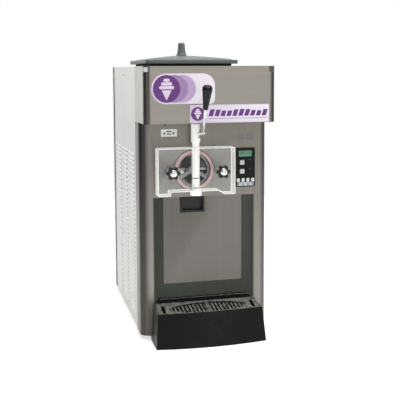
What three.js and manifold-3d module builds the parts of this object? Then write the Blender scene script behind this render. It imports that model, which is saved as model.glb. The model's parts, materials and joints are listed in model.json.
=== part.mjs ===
// Counter-top soft-serve ice cream maker: one flavour, hand lever, folded steel cabinet.
// Millimetres, +Z up. The front faces -Y and +X is on the right of someone facing it.
// The origin is under the middle of the whole machine, on the surface it stands on.

import * as THREE from "three";
import { mergeVertices } from "three/addons/utils/BufferGeometryUtils.js";
import Module from "manifold-3d";

const wasm = await Module();
wasm.setup();
const { Manifold } = wasm;

// ---- driving dimensions -------------------------------------------------------------------

const FRAME_SHIFT = -196; // moves the front panel's plane so that the machine is centred on Y
const GAP = 0.3; // between pieces that touch
const PAST = 5; // how far a cutting tool runs past the face that it opens
const SHEET = 2; // folded steel

const HALF_W = 188; // half the cabinet's width
const DEPTH = 563; // front panel to rear panel
const BOTTOM = 12; // lower edge of the skin
const TOP = 786; // upper edge of the skin
const CORNER_R = 20;
const SEAM_Y = 68; // where the wrapped front meets the side panels
const SIDE_OUT = 185; // outer face of the side panels, inside the wrapped edges
const SIDE_T = 1.5;
const DECK_Z = 768;

const HEADER_OUT = 85; // how far the header stands in front of the front panel
const HEADER_Z = 629;
const NOTCH_H = 16;

const LOUVRE = { rows: 36, low: 43, high: 526, length: 125, height: 5, columns: [111, 250, 391] };

const AXIS_X = -31; // the freezing barrel, the spigot and the lever share this plane
const AXIS_Z = 490; // height of the freezing barrel
const BARREL = { inner: 50, outer: 58, front: -3.7, rear: 330 };
const BEARING = { outer: 15.6, bore: 9.5, front: 8 }; // the beater's rear bearing
const SUPPORT = { outer: 47.5, inner: 43, front: 4, rear: 14 }; // the hoop that carries the beater's nose

const RECESS = { half: 150, low: 104, high: 413, depth: 18, splay: 33, sill: 53 };
const DRAWER = { half: 35, low: 366, high: 410, front: 12, rear: 130 };

const DOOR = { half: 112, low: 434, high: 557, back: -4, front: -46, legLow: 423 };
const SEAT = { outer: 57.4, inner: 48.2, deep: 4.3 }; // the groove behind the door that holds its seal
const LEG = { left: 37, right: 33, slope: 12 };
const VENT_PLUG = { x: -76, z: 492 };
const PLUNGER = { y: -28, r: 11, low: 437, shoulder: 574, high: 625, blockR: 13 };
const NOZZLE = { bore: 8, foot: 16.5, neck: 13, skirt: 7, h: 12.5 }; // the spout's turned outline
const RING_ZS = [443, 471]; // seal rings on the plunger
const SEAL = { half: 1.3, deep: 1.2, proud: 0.15 }; // one seal ring's section
const LEVER_X = -24; // the lever's hub stands beside the plunger's middle, clear of its front
const SLOT = { half: 4.8, z: 590.3, height: 13.5, back: -19 };
const LEVER = { y: -68, z: 602, arm: 38, restTilt: 18, rodR: 4 };
const LEVER_HUB = { r: 6.5, half: 4.5 };
const FINGER = { r: 3.5, tip: 4.2 };
const LEVER_KNEE = { y: -88, z: 608 };
const PIN = { r: 3, headR: 4.5, bore: 3.4, proud: 3 };
const EAR = { inner: 5.2, outer: 7.2, r: 7, armLow: 656, armHigh: 672 };
const BRACKET_PLATE = { left: -51, right: 3, low: 650, high: 700, t: 3 };
const GRIP = { y: -144, z: 670, tilt: 22, length: 75, low: 8, high: 14 };
const STUD = { bore: 5.4, tail: 10 }; // the door studs' clearance holes and how far they reach back
const KNOB = { spread: 72, r: 18.4, lobe: 1.4, back: -46.6, front: -68, points: 36 };

const BEZEL = { left: 95, right: 152, low: 436, high: 550, front: -4 };
const KEY = { w: 8.6, h: 10, z: 456, xs: [101.5, 116, 130.5, 145] };
const BUTTON = { size: 13.5, x: 113, zs: [507.5, 481.5] };
const DISPLAY = { left: 103, right: 142, low: 525, high: 542, pocket: 2.3, proud: 0.2 };

const TRAY = {
  low: 160, top: 153, h: 97, front: 75, foot: 91, rear: -0.8, bow: 14, topBow: 8.4, wall: 3, floor: 4,
};
const GRID_OVAL = { halfX: 112, halfY: 28, y: -44, pitch: 11.2, slit: 4.8, count: 9 };
const GRID_SLOT = { x: 131, half: 4, reach: 20 };
const LIP = { half: 150, h: 118, t: 4.8, end: 19, foot: 92, groove: 1.6 };
const GRID = { low: 88.3, frontT: 4.7, rise: 14, play: 0.7 };

const HOPPER = { half: 126, front: 148, rear: 444, low: 600, high: 785, wall: 1.5 };
const LID = { half: 143, front: 131, rear: 461, low: 794, rim: 806, crown: 821 };

const LID_KNOB = { foot: 16.5, tip: 10.5, top: 862 };

const INNER_FRAME_Y = 346;
const GEARBOX = { front: 349.4, rear: 420, half: 42, halfH: 46 };
const MOTOR = { z: 330, r: 42, rear: 415 };
const PULLEY = { front: 426, rear: 446, small: 18, large: 40, rim: 3, side: 3 };
const FAN = { x: 80, z: 125, r: 60, front: 480, rear: 498 };
const FAN_MOTOR = { r: 22, front: 440, rear: 474, postHalf: 12, plateHalf: 30, plateT: 3, shaftR: 3 };
const BLADE = { count: 5, length: 46, thickness: 2, chord: 26, pitch: 0.5, hub: 18 };
const COMPRESSOR = { x: -98, y: 430, r: 58, h: 188, plateHalfX: 68, plateHalfY: 52, plateT: 4 };
const CONDENSER = { left: 8, right: 152, front: 508, rear: 545, high: 230, edge: 6 };
const GROOVES = { rows: 9, pitch: 22, height: 12, depth: 12 }; // across the front of the condenser
const VENTS = { rows: 12, low: 60, pitch: 14, height: 6, half: 62 };
const FOOT = { r: 18, h: 8, x: 140, front: 45, rear: 520 };
const PAN = { rim: 60, cut: 22 }; // the base pan's rim height and cut corners
const GLAND = { x: -120, z: 70, r: 9, out: 11 };

// ---- finishes -----------------------------------------------------------------------------

function finish(color, roughness, metalness, opacity = 1) {
  const transparent = opacity < 1;
  return new THREE.MeshStandardMaterial({ color, roughness, metalness, opacity, transparent });
}

const STEEL = finish(0xb9bbbd, 0.38, 1);
const STEEL_DARK = finish(0x85888b, 0.45, 1);
const CHROME = finish(0xd8dadc, 0.12, 1);
const BLACK = finish(0x151618, 0.5, 0);
const GREY_LID = finish(0x565b5a, 0.45, 0);
const RUBBER = finish(0x111111, 0.85, 0);
const WHITE = finish(0xe9e8e2, 0.4, 0);
const CLEAR = finish(0xdfe8ea, 0.08, 0, 0.35);
const PINK = finish(0xc05a66, 0.7, 0);
const GREY = finish(0x9a9c9e, 0.5, 0);
const GREEN = finish(0xa9c23a, 0.25, 0);
const CASTING = finish(0x5f666b, 0.6, 0.7);
const COPPER = finish(0xb4713f, 0.4, 0.9);

// ---- solids -------------------------------------------------------------------------------

function solid(geometry) {
  const bare = geometry.clone();
  bare.deleteAttribute("normal");
  bare.deleteAttribute("uv");
  const merged = mergeVertices(bare, 1e-4);
  const vertProperties = new Float32Array(merged.attributes.position.array);
  const triVerts = new Uint32Array(merged.index.array);
  return new Manifold(new wasm.Mesh({ numProp: 3, vertProperties, triVerts }));
}

function join(...solids) {
  return Manifold.union(solids);
}

function block(x0, x1, y0, y1, z0, z1) {
  const box = new THREE.BoxGeometry(x1 - x0, y1 - y0, z1 - z0);
  return solid(box.translate((x0 + x1) / 2, (y0 + y1) / 2, (z0 + z1) / 2));
}

function rodX(r, x0, x1, y, z, sides = 16) {
  const rod = new THREE.CylinderGeometry(r, r, x1 - x0, sides).rotateZ(Math.PI / 2);
  return solid(rod.translate((x0 + x1) / 2, y, z));
}

function rodY(r, y0, y1, x, z, sides = 24) {
  const rod = new THREE.CylinderGeometry(r, r, y1 - y0, sides);
  return solid(rod.translate(x, (y0 + y1) / 2, z));
}

function rodZ(r, z0, z1, x, y, sides = 24) {
  const rod = new THREE.CylinderGeometry(r, r, z1 - z0, sides).rotateX(Math.PI / 2);
  return solid(rod.translate(x, y, (z0 + z1) / 2));
}

// A round bar in the plane x between two points given as [y, z].
function bar(r, from, to, sides = 12) {
  const [start, end] = [new THREE.Vector3(...from), new THREE.Vector3(...to)];
  const run = end.clone().sub(start);
  const straight = new THREE.CylinderGeometry(r, r, run.length(), sides);
  const up = new THREE.Vector3(0, 1, 0);
  straight.applyQuaternion(new THREE.Quaternion().setFromUnitVectors(up, run.clone().normalize()));
  const middle = start.add(end).multiplyScalar(0.5);
  return solid(straight.translate(middle.x, middle.y, middle.z));
}

function ball(r, x, y, z, sides = 12) {
  return solid(new THREE.SphereGeometry(r, sides, sides / 2).translate(x, y, z));
}

// A turned piece about +Z, from [radius, height] pairs.
function turned(profile, sides = 24) {
  const points = profile.map(([r, z]) => new THREE.Vector2(r, z));
  return solid(new THREE.LatheGeometry(points, sides).rotateX(Math.PI / 2));
}

// An outline drawn in X and Z, made a plate between y0 and y1.
function plateY(shape, y0, y1, segments = 6) {
  const plate = new THREE.ExtrudeGeometry(shape, extrusion(y1 - y0, segments));
  return solid(plate.rotateX(Math.PI / 2).translate(0, y1, 0));
}

// An outline drawn in X and Y, made a plate between z0 and z1.
function plateZ(shape, z0, z1, segments = 6) {
  return solid(new THREE.ExtrudeGeometry(shape, extrusion(z1 - z0, segments)).translate(0, 0, z0));
}

function extrusion(depth, curveSegments) {
  return { depth, bevelEnabled: false, curveSegments };
}

function outline(points) {
  return new THREE.Shape(points.map(([a, b]) => new THREE.Vector2(a, b)));
}

function rectangle(x0, x1, y0, y1, r) {
  const shape = new THREE.Shape();
  shape.absarc(x1 - r, y0 + r, r, -Math.PI / 2, 0);
  shape.absarc(x1 - r, y1 - r, r, 0, Math.PI / 2);
  shape.absarc(x0 + r, y1 - r, r, Math.PI / 2, Math.PI);
  shape.absarc(x0 + r, y0 + r, r, Math.PI, 1.5 * Math.PI);
  return shape;
}

// A solid between two closed outlines with the same number of [x, y] points.
function loft(lower, upper, z0, z1) {
  const n = lower.length;
  const positions = [...lower.map(([x, y]) => [x, y, z0]), ...upper.map(([x, y]) => [x, y, z1])].flat();
  const caps = THREE.ShapeUtils.triangulateShape(lower.map(([x, y]) => new THREE.Vector2(x, y)), []);
  const faces = [];
  for (const [a, b, c] of caps) {
    faces.push(a, c, b, a + n, b + n, c + n);
  }
  for (let i = 0; i < n; i += 1) {
    const next = (i + 1) % n;
    faces.push(i, next, next + n, i, next + n, i + n);
  }
  const geometry = new THREE.BufferGeometry();
  geometry.setAttribute("position", new THREE.Float32BufferAttribute(positions, 3));
  geometry.setIndex(faces);
  return solid(geometry);
}

const machine = new THREE.Group();
machine.position.y = FRAME_SHIFT;

// Adds one named piece, made about its own origin and placed at (x, y, z).
function add(name, piece, material, x = 0, y = 0, z = 0, tilt = 0) {
  const made = piece.getMesh();
  const geometry = new THREE.BufferGeometry();
  geometry.setAttribute("position", new THREE.BufferAttribute(new Float32Array(made.vertProperties), 3));
  geometry.setIndex(new THREE.BufferAttribute(new Uint32Array(made.triVerts), 1));
  geometry.computeVertexNormals();
  const mesh = new THREE.Mesh(geometry, material);
  mesh.name = name;
  mesh.position.set(x, y, z);
  mesh.rotation.x = tilt;
  machine.add(mesh);
}

// ---- cabinet ------------------------------------------------------------------------------

// A sheet folded round the front of the cabinet, open to the rear, as an X-Y outline.
function wrappedSheet(frontY, rearY, thickness) {
  const shape = new THREE.Shape();
  const inner = CORNER_R - thickness;
  const arcX = HALF_W - CORNER_R;
  const arcY = frontY + CORNER_R;
  shape.moveTo(-HALF_W, rearY);
  shape.lineTo(-HALF_W, arcY);
  shape.absarc(-arcX, arcY, CORNER_R, Math.PI, 1.5 * Math.PI, false);
  shape.absarc(arcX, arcY, CORNER_R, 1.5 * Math.PI, 2 * Math.PI, false);
  shape.lineTo(HALF_W, rearY);
  shape.lineTo(HALF_W - thickness, rearY);
  shape.absarc(arcX, arcY, inner, 2 * Math.PI, 1.5 * Math.PI, true);
  shape.absarc(-arcX, arcY, inner, 1.5 * Math.PI, Math.PI, true);
  shape.lineTo(thickness - HALF_W, rearY);
  return shape;
}

function frontPanel() {
  const skin = plateZ(wrappedSheet(0, SEAM_Y, SHEET), BOTTOM, HEADER_Z - GAP);
  const tongue = block(-160, 160, 0, SHEET, HEADER_Z - 5, DECK_Z - SHEET - 1);
  const recess = block(-RECESS.half, RECESS.half, -PAST, 10, RECESS.low, RECESS.high);
  const mouth = rodY(BARREL.outer + 2, -PAST, 10, AXIS_X, AXIS_Z, 28);
  const controls = block(BEZEL.left + 1, BEZEL.right - 1, -PAST, 10, BEZEL.low + 4, BEZEL.high - 4);
  const studXs = [AXIS_X - KNOB.spread, AXIS_X + KNOB.spread];
  const studs = studXs.map((x) => rodY(STUD.bore + 0.1, -PAST, STUD.tail, x, AXIS_Z, 16));
  return join(skin, tongue).subtract(join(recess, mouth, controls, ...studs));
}

// Front rectangle at y0 and a smaller rear one, square at the top edge.
function splayedBox(half, low, high, y0, y1) {
  const { splay, sill } = RECESS;
  const outer = [[-half, low], [half, low], [half, high], [-half, high]];
  const inner = half - splay;
  const shrunk = [[-inner, low + sill], [inner, low + sill], [inner, high], [-inner, high]];
  return loft(shrunk, outer, -y1, -y0).rotate([90, 0, 0]);
}

function splashPanel() {
  const front = SHEET + GAP;
  const rear = RECESS.depth;
  const t = SIDE_T;
  const { half, low, high } = RECESS;
  const flange = block(-half - 8, half + 8, front, front + t, low - 8, high + 6);
  const shell = splayedBox(half + t, low - t, high + t, front, rear + t);
  const hollow = splayedBox(half, low, high, front - 1, rear);
  const slotHalf = DRAWER.half + 1;
  const slot = block(AXIS_X - slotHalf, AXIS_X + slotHalf, 0, 40, DRAWER.low - 1.5, DRAWER.high + 1);
  return join(flange, shell).subtract(join(hollow, slot));
}

function headerCover() {
  const skin = plateZ(wrappedSheet(-HEADER_OUT, SEAM_Y - GAP, SHEET), HEADER_Z, TOP);
  const underside = block(-170, 170, -HEADER_OUT + 1, -GAP, HEADER_Z, HEADER_Z + SHEET);
  const wingFront = -HEADER_OUT + CORNER_R;
  const wings = block(-HALF_W + 1, HALF_W - 1, wingFront, -GAP, HEADER_Z, HEADER_Z + SHEET);
  const spigotWay = block(AXIS_X - 18, AXIS_X + 18, LEVER.y - 11, 5, HEADER_Z - 5, HEADER_Z + 5);
  const leftNotch = headerNotch(-HALF_W - 5, -HALF_W + 13);
  const rightNotch = headerNotch(HALF_W - 21, HALF_W - 9);
  return join(skin, underside, wings).subtract(join(spigotWay, leftNotch, rightNotch));
}

// A notch through the header's upper edge, between two places on X.
function headerNotch(x0, x1) {
  return block(x0, x1, -HEADER_OUT - 5, -HEADER_OUT + 14, TOP - NOTCH_H, TOP + 5);
}

function sidePanel(side) {
  const inner = side * (SIDE_OUT - SIDE_T);
  const outer = side * SIDE_OUT;
  const low = Math.min(inner, outer);
  const skin = block(low, low + SIDE_T, SEAM_Y - 8, DEPTH - SHEET - GAP, BOTTOM, TOP);
  const pitch = (LOUVRE.high - LOUVRE.low) / (LOUVRE.rows - 1);
  const slots = [];
  for (const start of LOUVRE.columns) {
    for (let row = 0; row < LOUVRE.rows; row += 1) {
      const z = LOUVRE.low + row * pitch;
      const end = start + LOUVRE.length;
      slots.push(block(low - PAST, low + PAST, start, end, z - LOUVRE.height / 2, z + LOUVRE.height / 2));
    }
  }
  return skin.subtract(join(...slots));
}

function rearPanel() {
  const lap = 18;
  const skin = block(-HALF_W, HALF_W, DEPTH - lap, DEPTH, BOTTOM, TOP);
  const inside = block(SHEET - HALF_W, HALF_W - SHEET, 0, DEPTH - SHEET, 0, TOP + 5);
  const { half, height } = VENTS;
  const vents = [];
  for (let row = 0; row < VENTS.rows; row += 1) {
    const z = VENTS.low + row * VENTS.pitch;
    vents.push(block(FAN.x - half, FAN.x + half, DEPTH - PAST, DEPTH + PAST, z, z + height));
  }
  const inlet = rodY(GLAND.r + 0.6, DEPTH - PAST, DEPTH + PAST, GLAND.x, GLAND.z);
  return skin.subtract(join(inside, inlet, ...vents));
}

// The floor of the cabinet, a tray with its front corners cut to clear the wrapped front.
function basePan() {
  const half = SIDE_OUT - SIDE_T - 0.5;
  const front = SHEET + 0.5;
  const rear = DEPTH - SHEET - GAP;
  const floorZ = FOOT.h + GAP;
  const pan = cutCornerOutline(half, front, rear);
  const well = cutCornerOutline(half - SHEET, front + SHEET, rear - SHEET);
  return plateZ(pan, floorZ, PAN.rim).subtract(plateZ(well, floorZ + SHEET, PAN.rim + 10));
}

function cutCornerOutline(half, front, rear) {
  const { cut } = PAN;
  return outline([[-half, front + cut], [cut - half, front], [half - cut, front], [half, front + cut],
    [half, rear], [-half, rear]]);
}

function topDeck() {
  const half = SIDE_OUT - SIDE_T - 0.5;
  const front = -HEADER_OUT + SHEET + GAP;
  const rounded = plateZ(rectangle(-half, half, front, 0, CORNER_R), DECK_Z - SHEET, DECK_Z);
  const square = block(-half, half, -CORNER_R, DEPTH - SHEET - GAP, DECK_Z - SHEET, DECK_Z);
  const hole = block(-HOPPER.half - 1, HOPPER.half + 1, HOPPER.front - 1, HOPPER.rear + 1, 700, 800);
  return rounded.add(square).subtract(hole);
}

function foot() {
  return turned([[0, 0], [FOOT.r, 0], [FOOT.r - 2, FOOT.h], [0, FOOT.h]], 20);
}

// ---- hopper and lid -----------------------------------------------------------------------

const FEED_Y = 178; // where the mix runs down from the hopper into the barrel

function hopper() {
  const { half, front, rear, low, high, wall } = HOPPER;
  const tub = block(-half, half, front, rear, low, high);
  const well = block(wall - half, half - wall, front + wall, rear - wall, low + wall, high + PAST);
  const flange = block(-half - 10, half + 10, front - 10, rear + 10, DECK_Z + GAP, DECK_Z + SHEET);
  const neck = rodZ(13, 562, low + 1, AXIS_X, FEED_Y);
  const drain = rodZ(10, 550, low + PAST, AXIS_X, FEED_Y);
  return join(tub, flange, neck).subtract(join(well, drain));
}

function airTube() {
  const tube = rodZ(9, 585, 750, AXIS_X, FEED_Y, 16);
  const bore = rodZ(6, 580, 755, AXIS_X, FEED_Y, 16);
  const port = rodX(2, AXIS_X - 12, AXIS_X + 12, FEED_Y, 612, 8);
  return tube.subtract(join(bore, port));
}

// Points round a rounded rectangle, four to a corner, starting at the right-hand side.
function cornerPoints(x0, x1, y0, y1, r, steps = 4) {
  const centres = [[x1 - r, y1 - r], [x0 + r, y1 - r], [x0 + r, y0 + r], [x1 - r, y0 + r]];
  return centres.flatMap(([cx, cy], corner) => Array.from({ length: steps }, (_, i) => {
    const angle = (corner + i / (steps - 1)) * Math.PI / 2;
    return [cx + r * Math.cos(angle), cy + r * Math.sin(angle)];
  }));
}

function hopperLid() {
  const { half, front, rear, low, rim, crown } = LID;
  const inset = 17;
  const middle = (front + rear) / 2;
  const flange = plateZ(rectangle(-half, half, front, rear, 14), low, rim);
  const skirt = cornerPoints(-half + inset, half - inset, front + inset, rear - inset, 10);
  const top = cornerPoints(-20, 20, middle - 20, middle + 20, 19.9);
  const peak = loft(skirt, top, rim - 1, crown);
  const hollow = block(-half + 30, half - 30, front + 30, rear - 30, low - PAST, low + 6);
  return join(flange, peak).subtract(hollow);
}

function lidGasket() {
  const { half, front, rear, high } = HOPPER;
  const ring = plateZ(rectangle(-half, half, front, rear, 6), high + GAP, LID.low - GAP, 3);
  const inside = plateZ(rectangle(12 - half, half - 12, front + 12, rear - 12, 4), 700, 900, 3);
  return ring.subtract(inside);
}

function lidKnob() {
  const h = LID_KNOB.top - LID.crown - GAP;
  const { foot, tip } = LID_KNOB;
  const flare = [[0, 0], [foot, 0], [foot - 1, 6], [tip + 2, 14], [tip, 26]];
  return turned([...flare, [tip, h - PAST], [tip - 2.5, h - 1], [0, h]], 24);
}

// ---- freezing barrel and beater -----------------------------------------------------------

function freezingBarrel() {
  const { inner, outer, front, rear } = BARREL;
  const shell = rodY(outer, front, rear, AXIS_X, AXIS_Z, 28);
  const flange = block(AXIS_X - 90, AXIS_X + 90, SHEET + GAP, 7, AXIS_Z - 66, AXIS_Z + 66);
  const socket = rodZ(17, AXIS_Z + 45, 580, AXIS_X, FEED_Y);
  const bore = rodY(inner, front - PAST, rear - 8, AXIS_X, AXIS_Z, 28);
  const shaftHole = rodY(16, rear - 20, rear + PAST, AXIS_X, AXIS_Z);
  const feed = rodZ(13.6, AXIS_Z + 20, 600, AXIS_X, FEED_Y);
  const studs = [-1, 1].map((side) => rodY(STUD.bore, 0, STUD.tail, AXIS_X + side * KNOB.spread, AXIS_Z, 16));
  return join(shell, flange, socket).subtract(join(bore, shaftHole, feed, ...studs));
}

// A flat bar across the barrel, twisted along its length into two scraping flights.
function twistedBar(half, thickness, y0, y1, turns, steps) {
  const positions = [];
  const faces = [];
  const section = [[-half, -thickness], [0, -thickness], [half, -thickness],
    [half, thickness], [0, thickness], [-half, thickness]];
  const n = section.length;
  for (let i = 0; i <= steps; i += 1) {
    const angle = turns * 2 * Math.PI * i / steps;
    for (const [a, b] of section) {
      positions.push(a * Math.cos(angle) - b * Math.sin(angle), y0 + (y1 - y0) * i / steps,
        a * Math.sin(angle) + b * Math.cos(angle));
    }
  }
  for (let i = 0; i < steps; i += 1) {
    for (let k = 0; k < n; k += 1) {
      const a = i * n + k;
      const b = i * n + (k + 1) % n;
      faces.push(a, b + n, b, a, a + n, b + n);
    }
  }
  const end = steps * n;
  for (const [b, c] of [[2, 3], [3, 4], [4, 5], [5, 0]]) {
    faces.push(1, b, c, end + 1, end + c, end + b);
  }
  const bar = new THREE.BufferGeometry();
  bar.setAttribute("position", new THREE.Float32BufferAttribute(positions, 3));
  bar.setIndex(faces);
  return solid(bar);
}

function beater() {
  const shaft = rodY(9, 18, GEARBOX.front + 16, 0, 0, 16);
  return join(shaft, twistedBar(47, 3, 20, BARREL.rear - 12, 1.25, 24));
}

// The three-armed carrier that centres the beater's front end in the barrel.
function beaterSupport() {
  const arms = [90, 210, 330].map((degrees) => {
    const arm = new THREE.BoxGeometry(36, 10, 11).translate(28, 9, 0);
    return solid(arm.rotateY(-degrees * Math.PI / 180));
  });
  const hub = rodY(13, 1, 17, 0, 0);
  const { outer, inner, front, rear } = SUPPORT;
  const hoop = rodY(outer, front, rear, 0, 0, 28).subtract(rodY(inner, front - PAST, rear + PAST, 0, 0, 28));
  return join(hub, hoop, ...arms);
}

function shaftBearing() {
  const race = rodY(15.6, BARREL.rear - 8, BARREL.rear + PAST, AXIS_X, AXIS_Z);
  return race.subtract(rodY(BEARING.bore, 300, 400, AXIS_X, AXIS_Z));
}

// ---- drive --------------------------------------------------------------------------------

function innerFrame() {
  const sheet = block(-150, 150, INNER_FRAME_Y, INNER_FRAME_Y + 3, FOOT.h + GAP * 2 + SHEET, 560);
  const shaftWay = rodY(14, 300, 400, AXIS_X, AXIS_Z);
  const airWay = block(20, 130, 300, 400, 60, 220);
  return sheet.subtract(join(shaftWay, airWay));
}

function gearbox() {
  const { front, rear, half, halfH } = GEARBOX;
  const shape = rectangle(AXIS_X - half, AXIS_X + half, AXIS_Z - halfH, AXIS_Z + halfH, 12);
  const input = rodY(7, rear - PAST, PULLEY.rear, AXIS_X, AXIS_Z, 16);
  const socket = rodY(9.5, front - PAST, front + 20, AXIS_X, AXIS_Z, 16);
  return join(plateY(shape, front, rear, 4), input).subtract(socket);
}

function driveMotor() {
  const can = rodY(MOTOR.r, GEARBOX.front, MOTOR.rear, AXIS_X, MOTOR.z);
  const terminalBox = block(AXIS_X - 62, AXIS_X - 20, 365, 400, MOTOR.z - 18, MOTOR.z + 18);
  const shaft = rodY(6, MOTOR.rear - PAST, PULLEY.rear, AXIS_X, MOTOR.z, 16);
  return join(can, terminalBox, shaft);
}

function pulley(core, bore) {
  const { front, rear, rim, side } = PULLEY;
  const width = rear - front;
  const drum = rodY(core, 0, width, 0, 0);
  const cheeks = [0, width - side].map((y) => rodY(core + rim, y, y + side, 0, 0));
  return join(drum, ...cheeks).subtract(rodY(bore + 0.4, -PAST, width + PAST, 0, 0, 16));
}

// A belt round two pulleys, one above the other, drawn in X and Z about the lower one.
function beltOutline(small, large, distance, holeOf) {
  const lean = Math.asin((large - small) / distance);
  const path = holeOf ? new THREE.Path() : new THREE.Shape();
  path.absarc(0, distance, large, -lean, Math.PI + lean, false);
  path.absarc(0, 0, small, Math.PI + lean, 2 * Math.PI - lean, false);
  if (holeOf) {
    holeOf.holes.push(path);
  }
  return path;
}

function driveBelt() {
  const play = 0.9;
  const thickness = 3;
  const { front, rear, small, large, side } = PULLEY;
  const distance = AXIS_Z - MOTOR.z;
  const loop = beltOutline(small + play + thickness, large + play + thickness, distance);
  beltOutline(small + play, large + play, distance, loop);
  return plateY(loop, front + side + 0.5, rear - side - 0.5, 12);
}

// ---- refrigeration ------------------------------------------------------------------------

function compressor() {
  const base = FOOT.h + SHEET + GAP * 2;
  const { x, y, r, h, plateHalfX, plateHalfY, plateT } = COMPRESSOR;
  const lower = [[0, 0], [r - 8, 0], [r, 20]];
  const dome = [[r, h - 38], [r - 10, h - 12], [r - 36, h], [0, h]];
  const plate = block(-plateHalfX, plateHalfX, -plateHalfY, plateHalfY, 0, plateT);
  return join(turned([...lower, ...dome], 24), plate).translate([x, y, base]);
}

function condenser() {
  const base = FOOT.h + SHEET + GAP * 2;
  const { left, right, front, rear, high, edge } = CONDENSER;
  const core = block(left, right, front, rear, base, high);
  const grooves = [];
  for (let row = 0; row < GROOVES.rows; row += 1) {
    const z = base + 15 + row * GROOVES.pitch;
    const floor = front + GROOVES.depth;
    grooves.push(block(left + edge, right - edge, front - PAST, floor, z, z + GROOVES.height));
  }
  return core.subtract(join(...grooves));
}

function fanMotor() {
  const base = FOOT.h + SHEET + GAP * 2;
  const { r, front, rear, postHalf, plateHalf, plateT, shaftR } = FAN_MOTOR;
  const can = rodY(r, front, rear, FAN.x, FAN.z);
  const post = block(FAN.x - postHalf, FAN.x + postHalf, front + PAST, rear - PAST, base + 1, FAN.z);
  const plate = block(FAN.x - plateHalf, FAN.x + plateHalf, front, rear, base, base + plateT);
  const shaft = rodY(shaftR, rear - PAST, FAN.front + 10, FAN.x, FAN.z, 12);
  return join(can, post, plate, shaft);
}

function fanBlades() {
  const { count, length, thickness, chord, pitch, hub: hubR } = BLADE;
  const depth = FAN.rear - FAN.front;
  const hub = rodY(hubR, 0, depth, 0, 0);
  const blades = [];
  for (let i = 0; i < count; i += 1) {
    const flat = new THREE.BoxGeometry(length, thickness, chord);
    const blade = flat.rotateX(pitch).translate(FAN.r - length / 2, depth / 2, 0);
    blades.push(solid(blade.rotateY(i * 2 * Math.PI / count)));
  }
  const bore = rodY(PIN.bore, -PAST, 14, 0, 0, 12);
  return join(hub, ...blades).subtract(bore);
}

// ---- dispensing door ----------------------------------------------------------------------

function frontDoor() {
  const { half, low, high, back, front, legLow } = DOOR;
  const left = AXIS_X - half;
  const right = AXIS_X + half;
  const leftLeg = [[left, legLow], [left + LEG.left, legLow], [left + LEG.left, low]];
  const rightLeg = [[right - LEG.right - LEG.slope, low], [right - LEG.right, legLow], [right, legLow]];
  const slab = plateY(outline([...leftLeg, ...rightLeg, [right, high], [left, high]]), front, back);
  const spigotBore = rodZ(PLUNGER.r + 0.4, low - PAST, high + PAST, AXIS_X, PLUNGER.y, 24);
  const outlet = rodY(9, PLUNGER.y, back + PAST, AXIS_X, 456);
  const seat = rodY(SEAT.outer, back - SEAT.deep, back + PAST, AXIS_X, AXIS_Z, 28);
  const land = rodY(SEAT.inner, back - SEAT.deep, back + PAST, AXIS_X, AXIS_Z, 28);
  const studXs = [AXIS_X - KNOB.spread, AXIS_X + KNOB.spread];
  const studs = studXs.map((x) => rodY(STUD.bore, front - PAST, back + PAST, x, AXIS_Z, 16));
  const vent = rodY(4.4, front - PAST, front + 20, VENT_PLUG.x, VENT_PLUG.z, 12);
  return slab.subtract(seat.subtract(land)).subtract(join(spigotBore, outlet, vent, ...studs));
}

function doorGasket() {
  const ring = rodY(57, DOOR.back - 4, DOOR.back, AXIS_X, AXIS_Z, 28);
  return ring.subtract(rodY(48.8, -20, 5, AXIS_X, AXIS_Z, 28));
}

function spigotPlunger() {
  const { r, low, shoulder, high, blockR, y } = PLUNGER;
  const column = rodZ(r, low, shoulder + 1, AXIS_X, y, 24);
  const head = rodZ(blockR, shoulder, high, AXIS_X, y);
  const [slotLow, slotHigh] = [SLOT.z - SLOT.height / 2, SLOT.z + SLOT.height / 2];
  const slot = block(LEVER_X - SLOT.half, AXIS_X + blockR + 5, y - 20, SLOT.back, slotLow, slotHigh);
  return join(column, head).subtract(join(slot, ...RING_ZS.map(ringGroove)));
}

function ringGroove(z) {
  const { r, y } = PLUNGER;
  const outside = rodZ(r + 1, z - 1.6, z + 1.6, AXIS_X, y, 24);
  return outside.subtract(rodZ(r - 1.6, z - PAST, z + PAST, AXIS_X, y, 24));
}

function plungerRing(z) {
  const ring = rodZ(PLUNGER.r + SEAL.proud, z - SEAL.half, z + SEAL.half, AXIS_X, PLUNGER.y, 24);
  return ring.subtract(rodZ(PLUNGER.r - SEAL.deep, z - PAST, z + PAST, AXIS_X, PLUNGER.y, 24));
}

function spigotNozzle() {
  const { bore, foot, neck, skirt, h } = NOZZLE;
  const bell = turned([[bore, 0], [foot, 0], [foot, skirt], [neck, h], [bore, h], [bore, 0]], 24);
  return bell.translate([AXIS_X, PLUNGER.y, DOOR.low - h - GAP]);
}

function doorStud(side) {
  return rodY(5, KNOB.front + 6, 6.5, AXIS_X + side * KNOB.spread, AXIS_Z, 16);
}

function doorKnob() {
  const points = Array.from({ length: KNOB.points }, (_, i) => {
    const angle = i * 2 * Math.PI / KNOB.points;
    const r = KNOB.r + KNOB.lobe * Math.cos(6 * angle);
    return [r * Math.cos(angle), r * Math.sin(angle)];
  });
  const grip = plateY(outline(points), KNOB.front, KNOB.back - 4);
  const collar = rodY(12, KNOB.back - PAST, KNOB.back, 0, 0);
  return join(grip, collar).subtract(rodY(STUD.bore, KNOB.front + 4, 0, 0, 0, 16));
}

function knobCap() {
  return turned([[0, 0], [10, 0], [9, 2], [0, 3]], 20).rotate([90, 0, 0]);
}

function ventPlug() {
  return join(rodY(4, -40, -30, 0, 0, 12), rodY(5, DOOR.front - 6, DOOR.front - GAP, 0, 0, 12),
    rodY(3, DOOR.front - 1, -35, 0, 0, 12));
}

// ---- lever --------------------------------------------------------------------------------

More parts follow.
